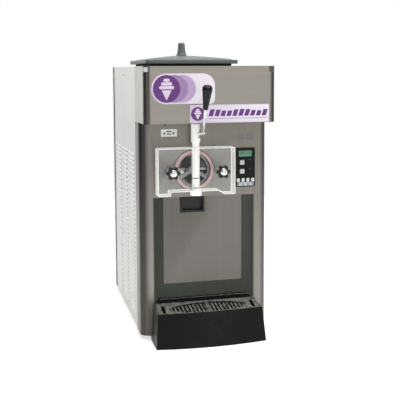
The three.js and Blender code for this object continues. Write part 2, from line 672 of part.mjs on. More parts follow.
// Two ears that hang from arms inside the header, so that only their lower ends show.
function leverBracket() {
  const { left, right, low, high, t } = BRACKET_PLATE;
  const plate = block(left, right, -GAP - t, -GAP, low, high);
  const ears = [-1, 1].map((side) => {
    const edges = [LEVER_X + side * EAR.inner, LEVER_X + side * EAR.outer];
    const [x0, x1] = [Math.min(...edges), Math.max(...edges)];
    const arm = block(x0, x1, LEVER.y - EAR.r, -2, EAR.armLow, EAR.armHigh);
    const drop = block(x0, x1, LEVER.y - EAR.r, LEVER.y + EAR.r, LEVER.z, EAR.armHigh);
    return join(arm, drop, rodX(EAR.r, x0, x1, LEVER.y, LEVER.z, 20));
  });
  return join(plate, ...ears).subtract(pinHole());
}

function pinHole() {
  return rodX(PIN.bore, LEVER_X - 30, LEVER_X + 30, LEVER.y, LEVER.z);
}

function leverPin() {
  const reach = EAR.outer + PIN.proud;
  const shaft = rodX(PIN.r, LEVER_X - reach, LEVER_X + reach, LEVER.y, LEVER.z);
  const head = rodX(PIN.headR, LEVER_X + EAR.outer + GAP, LEVER_X + reach, LEVER.y, LEVER.z);
  return shaft.add(head);
}

function lever() {
  const { y, z, arm, restTilt, rodR } = LEVER;
  const tilt = restTilt * Math.PI / 180;
  const pivot = [LEVER_X, y, z];
  const tip = [LEVER_X, y + arm * Math.cos(tilt), z - arm * Math.sin(tilt)];
  const hub = rodX(LEVER_HUB.r, LEVER_X - LEVER_HUB.half, LEVER_X + LEVER_HUB.half, y, z, 20);
  const finger = join(bar(FINGER.r, pivot, tip), ball(FINGER.tip, ...tip));
  const knee = [LEVER_X, LEVER_KNEE.y, LEVER_KNEE.z];
  const neck = [AXIS_X, ...gripPoint(-6)];
  const top = [AXIS_X, ...gripPoint(34)];
  const rod = [[pivot, knee], [knee, neck], [neck, top]].map(([from, to]) => bar(rodR, from, to));
  const bends = [knee, neck].map((place) => ball(rodR, ...place));
  return join(hub, finger, ...rod, ...bends).subtract(pinHole());
}

// The point on the grip's axis a given distance up from its lower end, as [y, z].
function gripPoint(up) {
  const tilt = GRIP.tilt * Math.PI / 180;
  return [GRIP.y - up * Math.sin(tilt), GRIP.z + up * Math.cos(tilt)];
}

function leverGrip() {
  const { length, low, high } = GRIP;
  const body = turned([[0, 0], [low - 1.5, 0], [low, 2], [high - 1, length * 0.72], [high, length * 0.84],
    [high - 1.2, length * 0.93], [high * 0.6, length * 0.99], [0, length]], 24);
  return body.subtract(rodZ(4.6, -PAST, 38, 0, 0, 16));
}

// ---- controls -----------------------------------------------------------------------------

function bezel() {
  const { left, right, low, high, front } = BEZEL;
  const plate = plateY(rectangle(left, right, low, high, 3), front, -GAP, 3);
  const holes = BUTTON.zs.map((z) => squareHole(BUTTON.x, z, BUTTON.size / 2 + 0.5, BUTTON.size / 2 + 0.5));
  const slots = KEY.xs.map((x) => squareHole(x, KEY.z, KEY.w / 2 + 0.5, KEY.h / 2 + 0.5));
  const pocketX = (DISPLAY.left + DISPLAY.right) / 2;
  const pocketZ = (DISPLAY.low + DISPLAY.high) / 2;
  const pocketHalfW = (DISPLAY.right - DISPLAY.left) / 2 + GAP;
  const pocketHalfH = (DISPLAY.high - DISPLAY.low) / 2 + GAP;
  const through = squareHole(pocketX, pocketZ, pocketHalfW, pocketHalfH);
  const pocket = through.trimByPlane([0, -1, 0], -front - DISPLAY.pocket);
  return plate.subtract(join(...holes, ...slots, pocket));
}

function displayWindow() {
  const front = BEZEL.front - DISPLAY.proud;
  return block(DISPLAY.left, DISPLAY.right, front, BEZEL.front + 2, DISPLAY.low, DISPLAY.high);
}

function squareHole(x, z, halfW, halfH) {
  return block(x - halfW, x + halfW, -20, 20, z - halfH, z + halfH);
}

function pushButton(w, h, front, rear, r) {
  return plateY(rectangle(-w / 2, w / 2, -h / 2, h / 2, r), front, rear, 3);
}

// ---- drip drawer and drip tray ------------------------------------------------------------

function dripDrawer() {
  const { half, low, high, front, rear } = DRAWER;
  const face = block(AXIS_X - half, AXIS_X + half, front, front + 16, low, high);
  const tub = block(AXIS_X - half + 2, AXIS_X + half - 2, front, rear, low + 2, high - PAST);
  const well = block(AXIS_X - half + 4, AXIS_X + half - 4, front + 18, rear - 2, low + 4, high + PAST);
  const margin = 5;
  const across = half - margin;
  const fingerPull = block(AXIS_X - across, AXIS_X + across, front - PAST, front + 13, low + margin, high - margin);
  return join(face, tub).subtract(join(well, fingerPull));
}

// Outline of the tray at one level: straight at the rear, bowed at the front.
function trayOutline(half, front, bow, rear, steps = 9) {
  const arc = Array.from({ length: steps }, (_, i) => {
    const u = -1 + 2 * i / (steps - 1);
    return [u * half, -front - bow * (1 - u * u)];
  });
  return [...arc, [half, rear], [-half, rear]];
}

function dripTray() {
  const { low, top, h, front, foot: footY, bow, topBow, wall, floor, rear } = TRAY;
  const body = loft(trayOutline(low, footY, bow, rear), trayOutline(top, front, topBow, rear), 0, h);
  const well = loft(trayOutline(low - wall - 7, footY - wall - 7, bow, rear - LIP.t),
    trayOutline(top - wall - 4, front - wall - 4, topBow, rear - LIP.t), floor, h + PAST);
  const ledge = loft(trayOutline(top - wall, front - wall, topBow, rear - LIP.t),
    trayOutline(top - wall, front - wall, topBow, rear - LIP.t), h - 9, h + PAST);
  const flat = LIP.half - LIP.end;
  const crest = [[LIP.half, h], [flat, LIP.h], [-flat, LIP.h], [-LIP.half, h]];
  const lip = plateY(outline([[-LIP.half, LIP.foot], [LIP.half, LIP.foot], ...crest]), rear - LIP.t, rear);
  const grooveFront = rear - LIP.t + LIP.groove;
  const ridge = block(3 - flat, flat - 3, grooveFront, rear - LIP.groove, LIP.h - 3, LIP.h + PAST);
  return body.subtract(join(well, ledge)).add(lip).subtract(ridge);
}

// Keeps what lies under the sloping plane through (y0, z0) and (y1, z1).
function belowSlope(piece, y0, z0, y1, z1) {
  const slope = (z1 - z0) / (y1 - y0);
  const size = Math.hypot(slope, 1);
  return piece.trimByPlane([0, slope / size, -1 / size], (slope * y0 - z0) / size);
}

// The lift-out grid, higher at its rear: a bowed wedge with a slatted oval and a slot by each end.
function trayInsert() {
  const { top, front, topBow, wall } = TRAY;
  const edge = wall + GRID.play;
  const rear = TRAY.rear - LIP.t - GRID.play;
  const shape = trayOutline(top - edge, front - edge, topBow, rear);
  const wedge = loft(shape, shape, GRID.low, GRID.low + GRID.frontT + GRID.rise + 5);
  const plate = belowSlope(wedge, -front, GRID.low + GRID.frontT, rear, GRID.low + GRID.frontT + GRID.rise);
  const { halfX, halfY, y, pitch, slit, count } = GRID_OVAL;
  const slits = [];
  for (let i = -count; i <= count; i += 1) {
    const x = i * pitch;
    const reach = halfY * Math.sqrt(1 - (x / halfX) ** 2);
    slits.push(block(x - slit / 2, x + slit / 2, y - reach, y + reach, 0, LIP.h));
  }
  const { x, half, reach } = GRID_SLOT;
  const ends = [-x, x].map((at) => block(at - half, at + half, y - reach, y + reach, 0, LIP.h));
  return plate.subtract(join(...slits, ...ends));
}

// ---- power inlet --------------------------------------------------------------------------

function powerInlet() {
  const body = rodY(GLAND.r, DEPTH - 12, DEPTH + GLAND.out, GLAND.x, GLAND.z);
  const nut = rodY(14, DEPTH + GAP, DEPTH + 6, GLAND.x, GLAND.z, 6);
  const bore = rodY(4, DEPTH - 20, DEPTH + 30, GLAND.x, GLAND.z, 12);
  return join(body, nut).subtract(bore);
}

// ---- assembly -----------------------------------------------------------------------------

add("base_pan", basePan(), STEEL_DARK);
add("front_panel", frontPanel(), STEEL);
add("splash_panel", splashPanel(), STEEL);
add("header_cover", headerCover(), STEEL);
add("top_deck", topDeck(), STEEL);
add("rear_panel", rearPanel(), STEEL);
add("side_panel_left", sidePanel(-1), STEEL);
add("side_panel_right", sidePanel(1), STEEL);
for (const [end, y] of [["front", FOOT.front], ["rear", FOOT.rear]]) {
  add(`foot_${end}_left`, foot(), RUBBER, -FOOT.x, y);
  add(`foot_${end}_right`, foot(), RUBBER, FOOT.x, y);
}

add("hopper", hopper(), STEEL);
add("air_tube", airTube(), WHITE);
add("hopper_lid", hopperLid(), GREY_LID);
add("lid_gasket", lidGasket(), RUBBER);
add("lid_knob", lidKnob(), BLACK, 0, (LID.front + LID.rear) / 2, LID.crown + GAP);

add("freezing_barrel", freezingBarrel(), STEEL);
add("beater", beater(), STEEL, AXIS_X, 0, AXIS_Z);
add("beater_support", beaterSupport(), GREY, AXIS_X, 0, AXIS_Z);
add("shaft_bearing", shaftBearing(), BLACK);
add("inner_frame", innerFrame(), STEEL_DARK);
add("gearbox", gearbox(), CASTING);
add("gearbox_pulley", pulley(PULLEY.large, 7), CASTING, AXIS_X, PULLEY.front, AXIS_Z);
add("drive_belt", driveBelt(), RUBBER, AXIS_X, 0, MOTOR.z);
add("motor_pulley", pulley(PULLEY.small, 6), CASTING, AXIS_X, PULLEY.front, MOTOR.z);
add("drive_motor", driveMotor(), CASTING);
add("compressor", compressor(), BLACK);
add("condenser", condenser(), COPPER);
add("fan_motor", fanMotor(), CASTING);
add("fan_blades", fanBlades(), GREY, FAN.x, FAN.front, FAN.z);

add("front_door", frontDoor(), CLEAR);
add("door_gasket", doorGasket(), PINK);
add("spigot_plunger", spigotPlunger(), WHITE);
add("plunger_ring_lower", plungerRing(RING_ZS[0]), RUBBER);
add("plunger_ring_upper", plungerRing(RING_ZS[1]), RUBBER);
add("spigot_nozzle", spigotNozzle(), WHITE);
for (const [name, side] of [["left", -1], ["right", 1]]) {
  const x = AXIS_X + side * KNOB.spread;
  add(`door_stud_${name}`, doorStud(side), CHROME);
  add(`door_knob_${name}`, doorKnob(), BLACK, x, 0, AXIS_Z);
  add(`knob_cap_${name}`, knobCap(), CHROME, x, KNOB.front - GAP, AXIS_Z);
}
add("vent_plug", ventPlug(), CHROME, VENT_PLUG.x, 0, VENT_PLUG.z);

add("lever_bracket", leverBracket(), STEEL);
add("lever_pin", leverPin(), CHROME);
add("lever", lever(), CHROME);
add("lever_grip", leverGrip(), BLACK, AXIS_X, GRIP.y, GRIP.z, GRIP.tilt * Math.PI / 180);

add("control_bezel", bezel(), BLACK);
add("display_window", displayWindow(), GREEN);
BUTTON.zs.forEach((z, i) => {
  const name = ["button_upper", "button_lower"][i];
  add(name, pushButton(BUTTON.size, BUTTON.size, -6, 1, 1.5), GREY, BUTTON.x, 0, z);
});
KEY.xs.forEach((x, i) => {
  add(`key_${i + 1}`, pushButton(KEY.w, KEY.h, -5.4, 1, 1), GREY, x, 0, KEY.z);
});

add("drip_drawer", dripDrawer(), BLACK);
add("drip_tray", dripTray(), BLACK);
add("drip_tray_insert", trayInsert(), BLACK);
add("power_inlet", powerInlet(), BLACK);

export default machine;
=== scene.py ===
"""Dresses the counter-top soft-serve machine: cabinet, door, lever, controls, trays and a plain studio."""

import json
import math

import bmesh
import bpy
from mathutils import Matrix, Vector

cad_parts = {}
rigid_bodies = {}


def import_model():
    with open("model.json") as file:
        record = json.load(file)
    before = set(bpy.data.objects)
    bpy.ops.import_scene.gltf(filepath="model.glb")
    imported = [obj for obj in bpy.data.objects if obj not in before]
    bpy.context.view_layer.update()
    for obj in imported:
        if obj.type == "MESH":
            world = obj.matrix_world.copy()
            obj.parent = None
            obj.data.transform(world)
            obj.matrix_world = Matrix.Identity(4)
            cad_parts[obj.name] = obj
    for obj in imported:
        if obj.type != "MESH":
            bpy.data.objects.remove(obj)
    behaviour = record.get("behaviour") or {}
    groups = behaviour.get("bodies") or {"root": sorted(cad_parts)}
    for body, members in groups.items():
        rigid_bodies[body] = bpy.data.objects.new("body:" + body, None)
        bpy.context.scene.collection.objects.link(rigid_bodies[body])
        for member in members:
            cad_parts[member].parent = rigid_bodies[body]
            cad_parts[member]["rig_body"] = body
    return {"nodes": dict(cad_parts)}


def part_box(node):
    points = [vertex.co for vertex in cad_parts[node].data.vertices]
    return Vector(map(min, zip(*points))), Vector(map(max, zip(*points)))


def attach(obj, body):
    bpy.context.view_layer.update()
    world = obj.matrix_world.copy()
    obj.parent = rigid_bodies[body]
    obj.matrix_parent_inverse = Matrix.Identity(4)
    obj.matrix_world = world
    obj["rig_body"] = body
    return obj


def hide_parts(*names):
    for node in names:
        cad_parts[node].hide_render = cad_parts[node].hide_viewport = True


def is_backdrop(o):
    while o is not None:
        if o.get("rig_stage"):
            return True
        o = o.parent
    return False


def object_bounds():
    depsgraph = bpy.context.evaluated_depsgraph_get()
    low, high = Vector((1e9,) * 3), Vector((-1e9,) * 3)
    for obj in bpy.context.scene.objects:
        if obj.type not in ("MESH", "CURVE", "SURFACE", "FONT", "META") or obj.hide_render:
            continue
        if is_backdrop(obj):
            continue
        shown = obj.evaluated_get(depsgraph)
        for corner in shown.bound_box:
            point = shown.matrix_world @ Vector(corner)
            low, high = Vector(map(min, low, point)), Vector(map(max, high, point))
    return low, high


bl_info = {
    "name": "Soft-Serve Ice Cream Maker",
    "version": (1, 0, 0),
    "blender": (4, 5, 0),
    "location": "3D View > Sidebar > Ice Cream Maker",
    "description": "Builds the finishes and fine pieces of a counter-top soft-serve machine round its frame",
    "category": "Object",
}

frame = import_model()
CAD_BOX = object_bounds()
MM = 0.001


def low(node):
    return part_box(node)[0]


def high(node):
    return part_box(node)[1]


def middle(node):
    return (low(node) + high(node)) / 2


# ---- places that several pieces share -----------------------------------------------------

SPIGOT = middle("spigot_plunger")
BARREL_Z = middle("freezing_barrel").z
DOOR_LOW, DOOR_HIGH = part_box("front_door")
FRONT_Y = low("front_panel").y
SIDES = ((-1, "left"), (1, "right"))


# ---- settings -----------------------------------------------------------------------------


def length(name, description, default):
    return bpy.props.FloatProperty(name=name, description=description, default=default, min=0, unit="LENGTH")


def colour(name, description, default):
    return bpy.props.FloatVectorProperty(
        name=name, description=description, default=default, size=3, min=0, max=1, subtype="COLOR"
    )


def factor(name, description, default):
    return bpy.props.FloatProperty(
        name=name, description=description, default=default, min=0, max=1, subtype="FACTOR"
    )


def power(name, description, default):
    return bpy.props.FloatProperty(name=name, description=f"{description} in watts", default=default, min=0)


def count(name, description, default):
    return bpy.props.IntProperty(name=name, description=description, default=default, min=1)


class CabinetSettings(bpy.types.PropertyGroup):
    steel: colour("Steel", "Colour of the grained stainless sheet", (0.262, 0.247, 0.226))
    # paler than the front steel: painted light for the better lit side panels
    side_steel: colour("Side steel", "Colour of the paler side panels", (0.56, 0.545, 0.52))
    steel_roughness: factor("Steel roughness", "How dull the grained sheet is", 0.33)
    inner_steel: colour("Inner steel", "Colour of the galvanised inner sheet", (0.36, 0.37, 0.38))
    sheet_edge: length("Sheet edge", "Rounding of the folded sheet's edges", 0.0004)
    louvre_rows: count("Louvre rows", "Louvres in one column", 36)
    louvre_length: length("Louvre length", "Length of one louvre", 0.124)
    louvre_height: length("Louvre height", "Height of one louvre hood", 0.0074)
    louvre_rise: length("Louvre rise", "How far a hood stands off its panel", 0.0029)
    screw_radius: length("Screw radius", "Radius of the cabinet screws' heads", 0.0045)


class PlasticSettings(bpy.types.PropertyGroup):
    black: colour("Black", "Colour of the moulded black plastic", (0.0125, 0.0145, 0.014))
    lid: colour("Lid", "Colour of the hopper lid", (0.14, 0.158, 0.153))
    white: colour("White", "Colour of the spigot plastic", (0.93, 0.93, 0.9))
    grey: colour("Grey", "Colour of the beater support and the keys", (0.36, 0.37, 0.37))
    rubber: colour("Rubber", "Colour of the black rubber", (0.014, 0.014, 0.014))
    seal: colour("Seal", "Colour of the door seal", (0.74, 0.47, 0.46))
    knob_radius: length("Knob radius", "Outer radius of the lobed knobs", 0.0198)
    knob_lobe: length("Knob lobe", "Depth of the hollows between a knob's lobes", 0.0052)


class DoorSettings(bpy.types.PropertyGroup):
    clear: colour("Clear plate", "Tint of the clear plate", (0.8, 0.82, 0.82))
    edge: colour("Frosted edge", "Colour of the plate's machined edges", (0.93, 0.93, 0.91))
    bevel: length("Edge bevel", "Width of the machined edge", 0.0028)


class SignSettings(bpy.types.PropertyGroup):
    paper: colour("Sign", "Ground colour of the signs", (0.86, 0.82, 0.88))
    lilac: colour("Lilac", "Tint that the signs fade to", (0.62, 0.47, 0.7))
    ink: colour("Ink", "Colour of the printed shapes", (0.13, 0.035, 0.2))
    thickness: length("Thickness", "Thickness of the sign plates", 0.0008)
    display: colour("Display", "Colour of the lit display", (0.1, 0.27, 0.18))
    lamp: colour("Lamp", "Colour of the small indicator lamps", (0.05, 0.05, 0.16))


class StageSettings(bpy.types.PropertyGroup):
    floor: colour("Floor", "Colour of the floor", (0.86, 0.86, 0.86))
    sky: factor("Sky", "Strength of the surrounding light", 0.95)
    key: power("Key", "Power of the large side light", 16)
    low: power("Low", "Power of the low left light", 4)
    fill: power("Fill", "Power of the overhead light", 62)


SETTINGS = {
    "cabinet": CabinetSettings,
    "plastic": PlasticSettings,
    "door": DoorSettings,
    "signs": SignSettings,
    "stage": StageSettings,
}


def settings(group):
    return getattr(bpy.context.scene, f"soft_serve_{group}")


# ---- node arithmetic ----------------------------------------------------------------------


class Value:
    """A node socket that takes part in arithmetic: each operator adds a Math node."""

    def __init__(self, graph, socket):
        self.graph = graph
        self.socket = socket

    def __add__(self, other):
        return self.graph.math("ADD", self, other)

    def __radd__(self, other):
        return self.graph.math("ADD", other, self)

    def __sub__(self, other):
        return self.graph.math("SUBTRACT", self, other)

    def __rsub__(self, other):
        return self.graph.math("SUBTRACT", other, self)

    def __mul__(self, other):
        return self.graph.math("MULTIPLY", self, other)

    def __rmul__(self, other):
        return self.graph.math("MULTIPLY", other, self)

    def __truediv__(self, other):
        return self.graph.math("DIVIDE", self, other)

    def __gt__(self, other):
        return self.graph.math("GREATER_THAN", self, other)


class Graph:
    """A node tree written as Python: node() adds any node and hands back one of its outputs."""

    def __init__(self, tree):
        self.tree = tree

    @staticmethod
    def find(sockets, key):
        if isinstance(key, int):
            return sockets[key]
        for socket in sockets:
            if socket.identifier == key:
                return socket
        return sockets[key]

    def node(self, kind, choices=None, inputs=None, output=0):
        made = self.tree.nodes.new(kind)
        for name, value in (choices or {}).items():
            setattr(made, name, value)
        self.feed(made, inputs or {})
        return Value(self, self.find(made.outputs, output)) if made.outputs else made

    def feed(self, made, inputs):
        for key, value in inputs.items():
            socket = self.find(made.inputs, key)
            if isinstance(value, Value):
                self.tree.links.new(value.socket, socket)
            elif socket.type == "RGBA" and len(value) == 3:
                socket.default_value = (*value, 1)
            else:
                socket.default_value = value

    def math(self, operation, a, b=0.0):
        return self.node("ShaderNodeMath", {"operation": operation}, {0: a, 1: b})

    def blend(self, amount, a, b):
        inputs = {"Factor_Float": amount, "A_Color": a, "B_Color": b}
        return self.node("ShaderNodeMix", {"data_type": "RGBA"}, inputs, "Result_Color")

    def parts(self, vector):
        """The X, Y and Z of a vector, each as a value."""
        split = self.node("ShaderNodeSeparateXYZ", inputs={"Vector": vector}).socket.node.outputs
        return [Value(self, split[axis]) for axis in "XYZ"]

    def ramp(self, amount, start, end):
        """0 below start, 1 above end, straight between them."""
        inputs = {"Value": amount, "From Min": start, "From Max": end}
        return self.node("ShaderNodeMapRange", {"clamp": True}, inputs)


UPWARD = (0.2, 0.95)  # upright part of the normal where dust starts to settle and where it is full; on the drip tray it also carries a painted sheen
CORNER_SHADE = (0.03, 0.4)  # product of the normal's two level parts on a flat sheet and well round a folded corner: where the painted corner shade starts and where it is full


class Finish(Graph):
    """A material: its node tree, its Principled shader and its Object coordinates."""

    def __init__(self, name, **fixed):
        self.material = bpy.data.materials.new(name)
        self.material.use_nodes = True
        super().__init__(self.material.node_tree)
        self.shader = self.tree.nodes["Principled BSDF"]
        self.place = self.node("ShaderNodeTexCoord", output="Object")
        self.cover(**fixed)

    def noise(self, scale, detail=2.0, rough=0.5, stretch=None):
        where = self.place
        if stretch:
            where = self.node("ShaderNodeMapping", inputs={"Vector": where, "Scale": stretch})
        inputs = {"Vector": where, "Scale": scale, "Detail": detail, "Roughness": rough}
        return self.node("ShaderNodeTexNoise", inputs=inputs, output="Fac")

    def patches(self, start, end, *noise):
        """Noise cut off below start and full above end."""
        return self.ramp(self.noise(*noise), start, end)

    def normal(self):
        return self.node("ShaderNodeNewGeometry", output="Normal")

    def upward(self):
        """1 where a face looks up, 0 where it is upright or looks down."""
        return self.ramp(self.parts(self.normal())[2], *UPWARD)

    def fold(self):
        """Mask for painted shade: 1 half way round an upright folded corner, 0 on the flat sheets that it
        joins.
        """
        x, y, _ = self.parts(self.normal())
        return self.ramp(self.math("ABSOLUTE", x * y), *CORNER_SHADE)

    def bump(self, height, strength, distance):
        inputs = {"Height": height, "Strength": strength, "Distance": distance}
        return self.node("ShaderNodeBump", inputs=inputs)

    def cover(self, **varying):
        """Sets inputs of the Principled shader, named with underscores in place of spaces."""
        self.feed(self.shader, {key.replace("_", " "): value for key, value in varying.items()})
        return self.material


def shade(rgb, amount):
    return tuple(min(1.0, channel * amount) for channel in rgb)


# ---- finishes -----------------------------------------------------------------------------

BARREL_MOUTH = (0.0021, 0.0027)  # squares of the radii between which the plate's haze and painted sheen set in, so the barrel's mouth stays clear
FINS_PER_METRE = 450.0
LEFT_MARGIN_SHADE = (0.160, 0.172)  # how far left of the middle the painted shade along the left border starts and is full
GRAIN = {"X": (1.2, 240, 240), "Z": (240, 240, 1.2)}


def grained_steel(name, rgb, roughness, grain="Z", fold=0.0, margin_shade=0.0):
    """Grained sheet: fine lines along one axis, faint smears, and darker painted shade round its folded
    corners and along its left border.
    """
    finish = Finish(name, Metallic=1.0)
    fine = finish.noise(4.0, 3, 0.7, GRAIN[grain])
    band = finish.noise(0.28, 2, 0.5, GRAIN[grain])
    cloud = finish.noise(5.0, 4, 0.6)
    smear = finish.patches(0.52, 0.72, 11.0, 5, 0.65)
    tone = finish.blend(band * 0.6 + fine * 0.4, shade(rgb, 0.86), shade(rgb, 1.12))
    tone = finish.blend(smear * 0.16, tone, shade(rgb, 0.8))
    if fold:
        # painted shade round folded corners
        tone = finish.blend(finish.fold() * fold, tone, shade(rgb, 0.06))
    if margin_shade:
        # painted shade: darker towards the left border
        across = finish.parts(finish.place)[0]
        tone = finish.blend(finish.ramp(0 - across, *LEFT_MARGIN_SHADE) * margin_shade, tone, shade(rgb, 0.1))
    rough = roughness - 0.07 + fine * 0.1 + cloud * 0.07 + smear * 0.06
    return finish.cover(Base_Color=tone, Roughness=rough, Normal=finish.bump(fine, 0.12, 0.0002))


def galvanised(name, rgb):
    finish = Finish(name, Metallic=0.9)
    inputs = {"Vector": finish.place, "Scale": 120.0}
    cells = finish.node("ShaderNodeTexVoronoi", {"feature": "F1"}, inputs, "Color")
    spangle = finish.node("ShaderNodeSeparateColor", inputs={0: cells})
    dirt = finish.patches(0.4, 0.8, 9.0, 5, 0.6)
    tone = finish.blend(spangle, shade(rgb, 0.8), shade(rgb, 1.25))
    tone = finish.blend(dirt * 0.4, tone, (0.12, 0.11, 0.1))
    return finish.cover(Base_Color=tone, Roughness=0.38 + spangle * 0.15 + dirt * 0.2)


def bright_metal(name, rgb=(0.74, 0.74, 0.73)):
    finish = Finish(name, Metallic=1.0)
    scratches = finish.patches(0.6, 0.75, 900.0, 2, 0.5, (1, 1, 0.08))
    film = finish.noise(45.0, 3)
    tone = finish.blend(film, shade(rgb, 0.86), shade(rgb, 1.08))
    return finish.cover(Base_Color=tone, Roughness=0.11 + scratches * 0.12 + film * 0.08)


def moulded(name, rgb, roughness=0.45, grain=0.5, dust=0.25, gloss=0.4, dust_and_sheen_tone=(0.42, 0.41, 0.38)):
    """Moulded plastic: a fine pebbled skin, faint flow clouds, and dust where it faces up; on the drip tray
    this is also a painted sheen on its upward faces.
    """
    finish = Finish(name, Specular_IOR_Level=gloss)
    pebble = finish.noise(1400.0, 2, 0.6)
    cloud = finish.noise(14.0, 4, 0.6)
    scuff = finish.patches(0.7, 0.85, 160.0, 3, 0.7, (1, 0.25, 1))
    dust_and_sheen = finish.upward() * finish.patches(0.3, 0.8, 70.0, 4, 0.7) * dust
    tone = finish.blend(cloud, shade(rgb, 0.85), shade(rgb, 1.18))
    tone = finish.blend(scuff * 0.25, tone, shade(rgb, 2.4))
    tone = finish.blend(dust_and_sheen, tone, dust_and_sheen_tone)
    rough = roughness + cloud * 0.08 + scuff * 0.1 + dust_and_sheen * 0.3
    return finish.cover(Base_Color=tone, Roughness=rough, Normal=finish.bump(pebble, grain, 0.00012))


def acetal(name, rgb):
    """White machined plastic with faint turning rings round its upright axis, and a painted glow that lifts
    it out of the header's shade.
    """
    depth = (0.004, 0.004, 0.004)
    finish = Finish(name, Subsurface_Weight=0.12, Subsurface_Radius=depth, Emission_Strength=0.28)
    rings = finish.noise(1.0, 2, 0.5, (2, 2, 900))
    stain = finish.patches(0.5, 0.85, 60.0, 4, 0.6)
    tone = finish.blend(stain * 0.4, rgb, shade(rgb, 0.8))
    lit = finish.bump(rings, 0.15, 0.0002)
    return finish.cover(Base_Color=tone, Emission_Color=tone, Roughness=0.3 + rings * 0.14, Normal=lit)


def rubbery(name, rgb, roughness=0.62):
    finish = Finish(name, Specular_IOR_Level=0.35)
    bloom = finish.patches(0.45, 0.8, 80.0, 5, 0.7)
    skin = finish.noise(900.0, 2)
    tone = finish.blend(bloom * 0.35, rgb, shade(rgb, 1.5))
    rough = roughness + bloom * 0.15
    return finish.cover(Base_Color=tone, Roughness=rough, Normal=finish.bump(skin, 0.3, 0.0001))


def clear_plate(name, rgb):
    """Clear acrylic seen face on: mostly see-through, with a little haze, a pale painted sheen away from the
    barrel's mouth, and fine wiping marks.
    """
    finish = Finish(name, IOR=1.49)
    edge_on = finish.node("ShaderNodeLayerWeight", inputs={"Blend": 0.3}, output="Fresnel")
    haze = finish.patches(0.35, 0.8, 22.0, 4, 0.6)
    wipes = finish.patches(0.62, 0.8, 240.0, 2, 0.6, (0.3, 1, 1))
    tone = finish.blend(haze, rgb, shade(rgb, 0.9))
    x, _, z = finish.parts(finish.place)
    across, up = x - SPIGOT.x, z - BARREL_Z
    # painted sheen: a pale veil over the plate, kept off the barrel's mouth
    sheen_beside_barrel = finish.ramp(across * across + up * up, *BARREL_MOUTH)
    alpha = 0.015 + sheen_beside_barrel * 0.11 + edge_on * 0.3 + haze * 0.03 + wipes * 0.03
    return finish.cover(Base_Color=tone, Roughness=0.05 + wipes * 0.1, Alpha=alpha)


def frosted_edge(name, rgb, cover, vary):
    """Machined acrylic: sawn lines, small chips, and a painted glow that stands for light gathered from the
    plate behind it.
    """
    finish = Finish(name, Emission_Strength=0.5)
    saw = finish.noise(1.0, 3, 0.6, (700, 30, 700))
    chips = finish.patches(0.58, 0.7, 300.0, 3, 0.7)
    tone = finish.blend(saw, shade(rgb, 0.82), rgb)
    tone = finish.blend(chips * 0.35, tone, shade(rgb, 0.6))
    lit = finish.bump(saw, 0.25, 0.0002)
    finish.cover(Roughness=0.35 + saw * 0.2, Alpha=cover + saw * vary, Normal=lit)
    return finish.cover(Base_Color=tone, Emission_Color=tone)


def casting(name, rgb):
    finish = Finish(name, Metallic=0.4)
    sand = finish.noise(420.0, 4, 0.7)
    grime = finish.patches(0.42, 0.75, 24.0, 5, 0.65)
    tone = finish.blend(grime * 0.7, rgb, (0.04, 0.036, 0.032))
    return finish.cover(Base_Color=tone, Roughness=0.5 + sand * 0.2, Normal=finish.bump(sand, 0.5, 0.0004))


def printed(name, rgb, tint=None, fade_from=0.0, fade_to=1.0):
    """Printed film: one ink, or a fade to a tint along X between two places."""
    finish = Finish(name, Coat_Roughness=0.15)
    print_grain = finish.noise(500.0, 2, 0.5)
    tone = finish.blend(print_grain * 0.5, rgb, shade(rgb, 0.9))
    if tint:
        along = finish.parts(finish.place)[0]
        ripple = finish.noise(18.0, 2) * 0.25
        tone = finish.blend(finish.ramp(along, fade_from, fade_to) * 0.55 + ripple, tone, tint)
    return finish.cover(Base_Color=tone, Roughness=0.28 + print_grain * 0.12)


def lit_display(name, rgb):
    finish = Finish(name, Emission_Strength=0.2, Coat_Weight=0.5, Coat_Roughness=0.08)
    glow = finish.patches(0.2, 0.9, 30.0, 2)
    cells = finish.noise(1.0, 1, 0.5, (1600, 1, 1600))
    tone = finish.blend(glow, shade(rgb, 0.7), shade(rgb, 1.2))
    return finish.cover(Base_Color=tone, Emission_Color=tone, Roughness=0.2 + cells * 0.1)


def finned_block(name):
    """A coil block: bright fins over copper, as fine upright stripes."""
    finish = Finish(name, Metallic=1.0)
    fins = finish.math("FRACT", finish.parts(finish.place)[0] * FINS_PER_METRE)
    dust = finish.patches(0.4, 0.8, 40.0, 5, 0.7)
    tone = finish.blend(fins > 0.55, (0.5, 0.5, 0.51), (0.36, 0.17, 0.08))
    tone = finish.blend(dust * 0.6, tone, (0.14, 0.13, 0.12))
    return finish.cover(Base_Color=tone, Roughness=0.4 + dust * 0.3, Normal=finish.bump(fins, 0.6, 0.0006))


def studio_floor(name, rgb):
    finish = Finish(name, Emission_Color=(1, 1, 1), Emission_Strength=0.5)
    mottle = finish.noise(3.0, 4)
    tone = finish.blend(mottle, shade(rgb, 0.985), rgb)
    return finish.cover(Base_Color=tone, Roughness=0.75 + mottle * 0.1)


FINISHES = {}


def mix(share, a, b):
    """share of one colour and the rest of another."""
    return tuple(share * one + (1 - share) * other for one, other in zip(a, b))


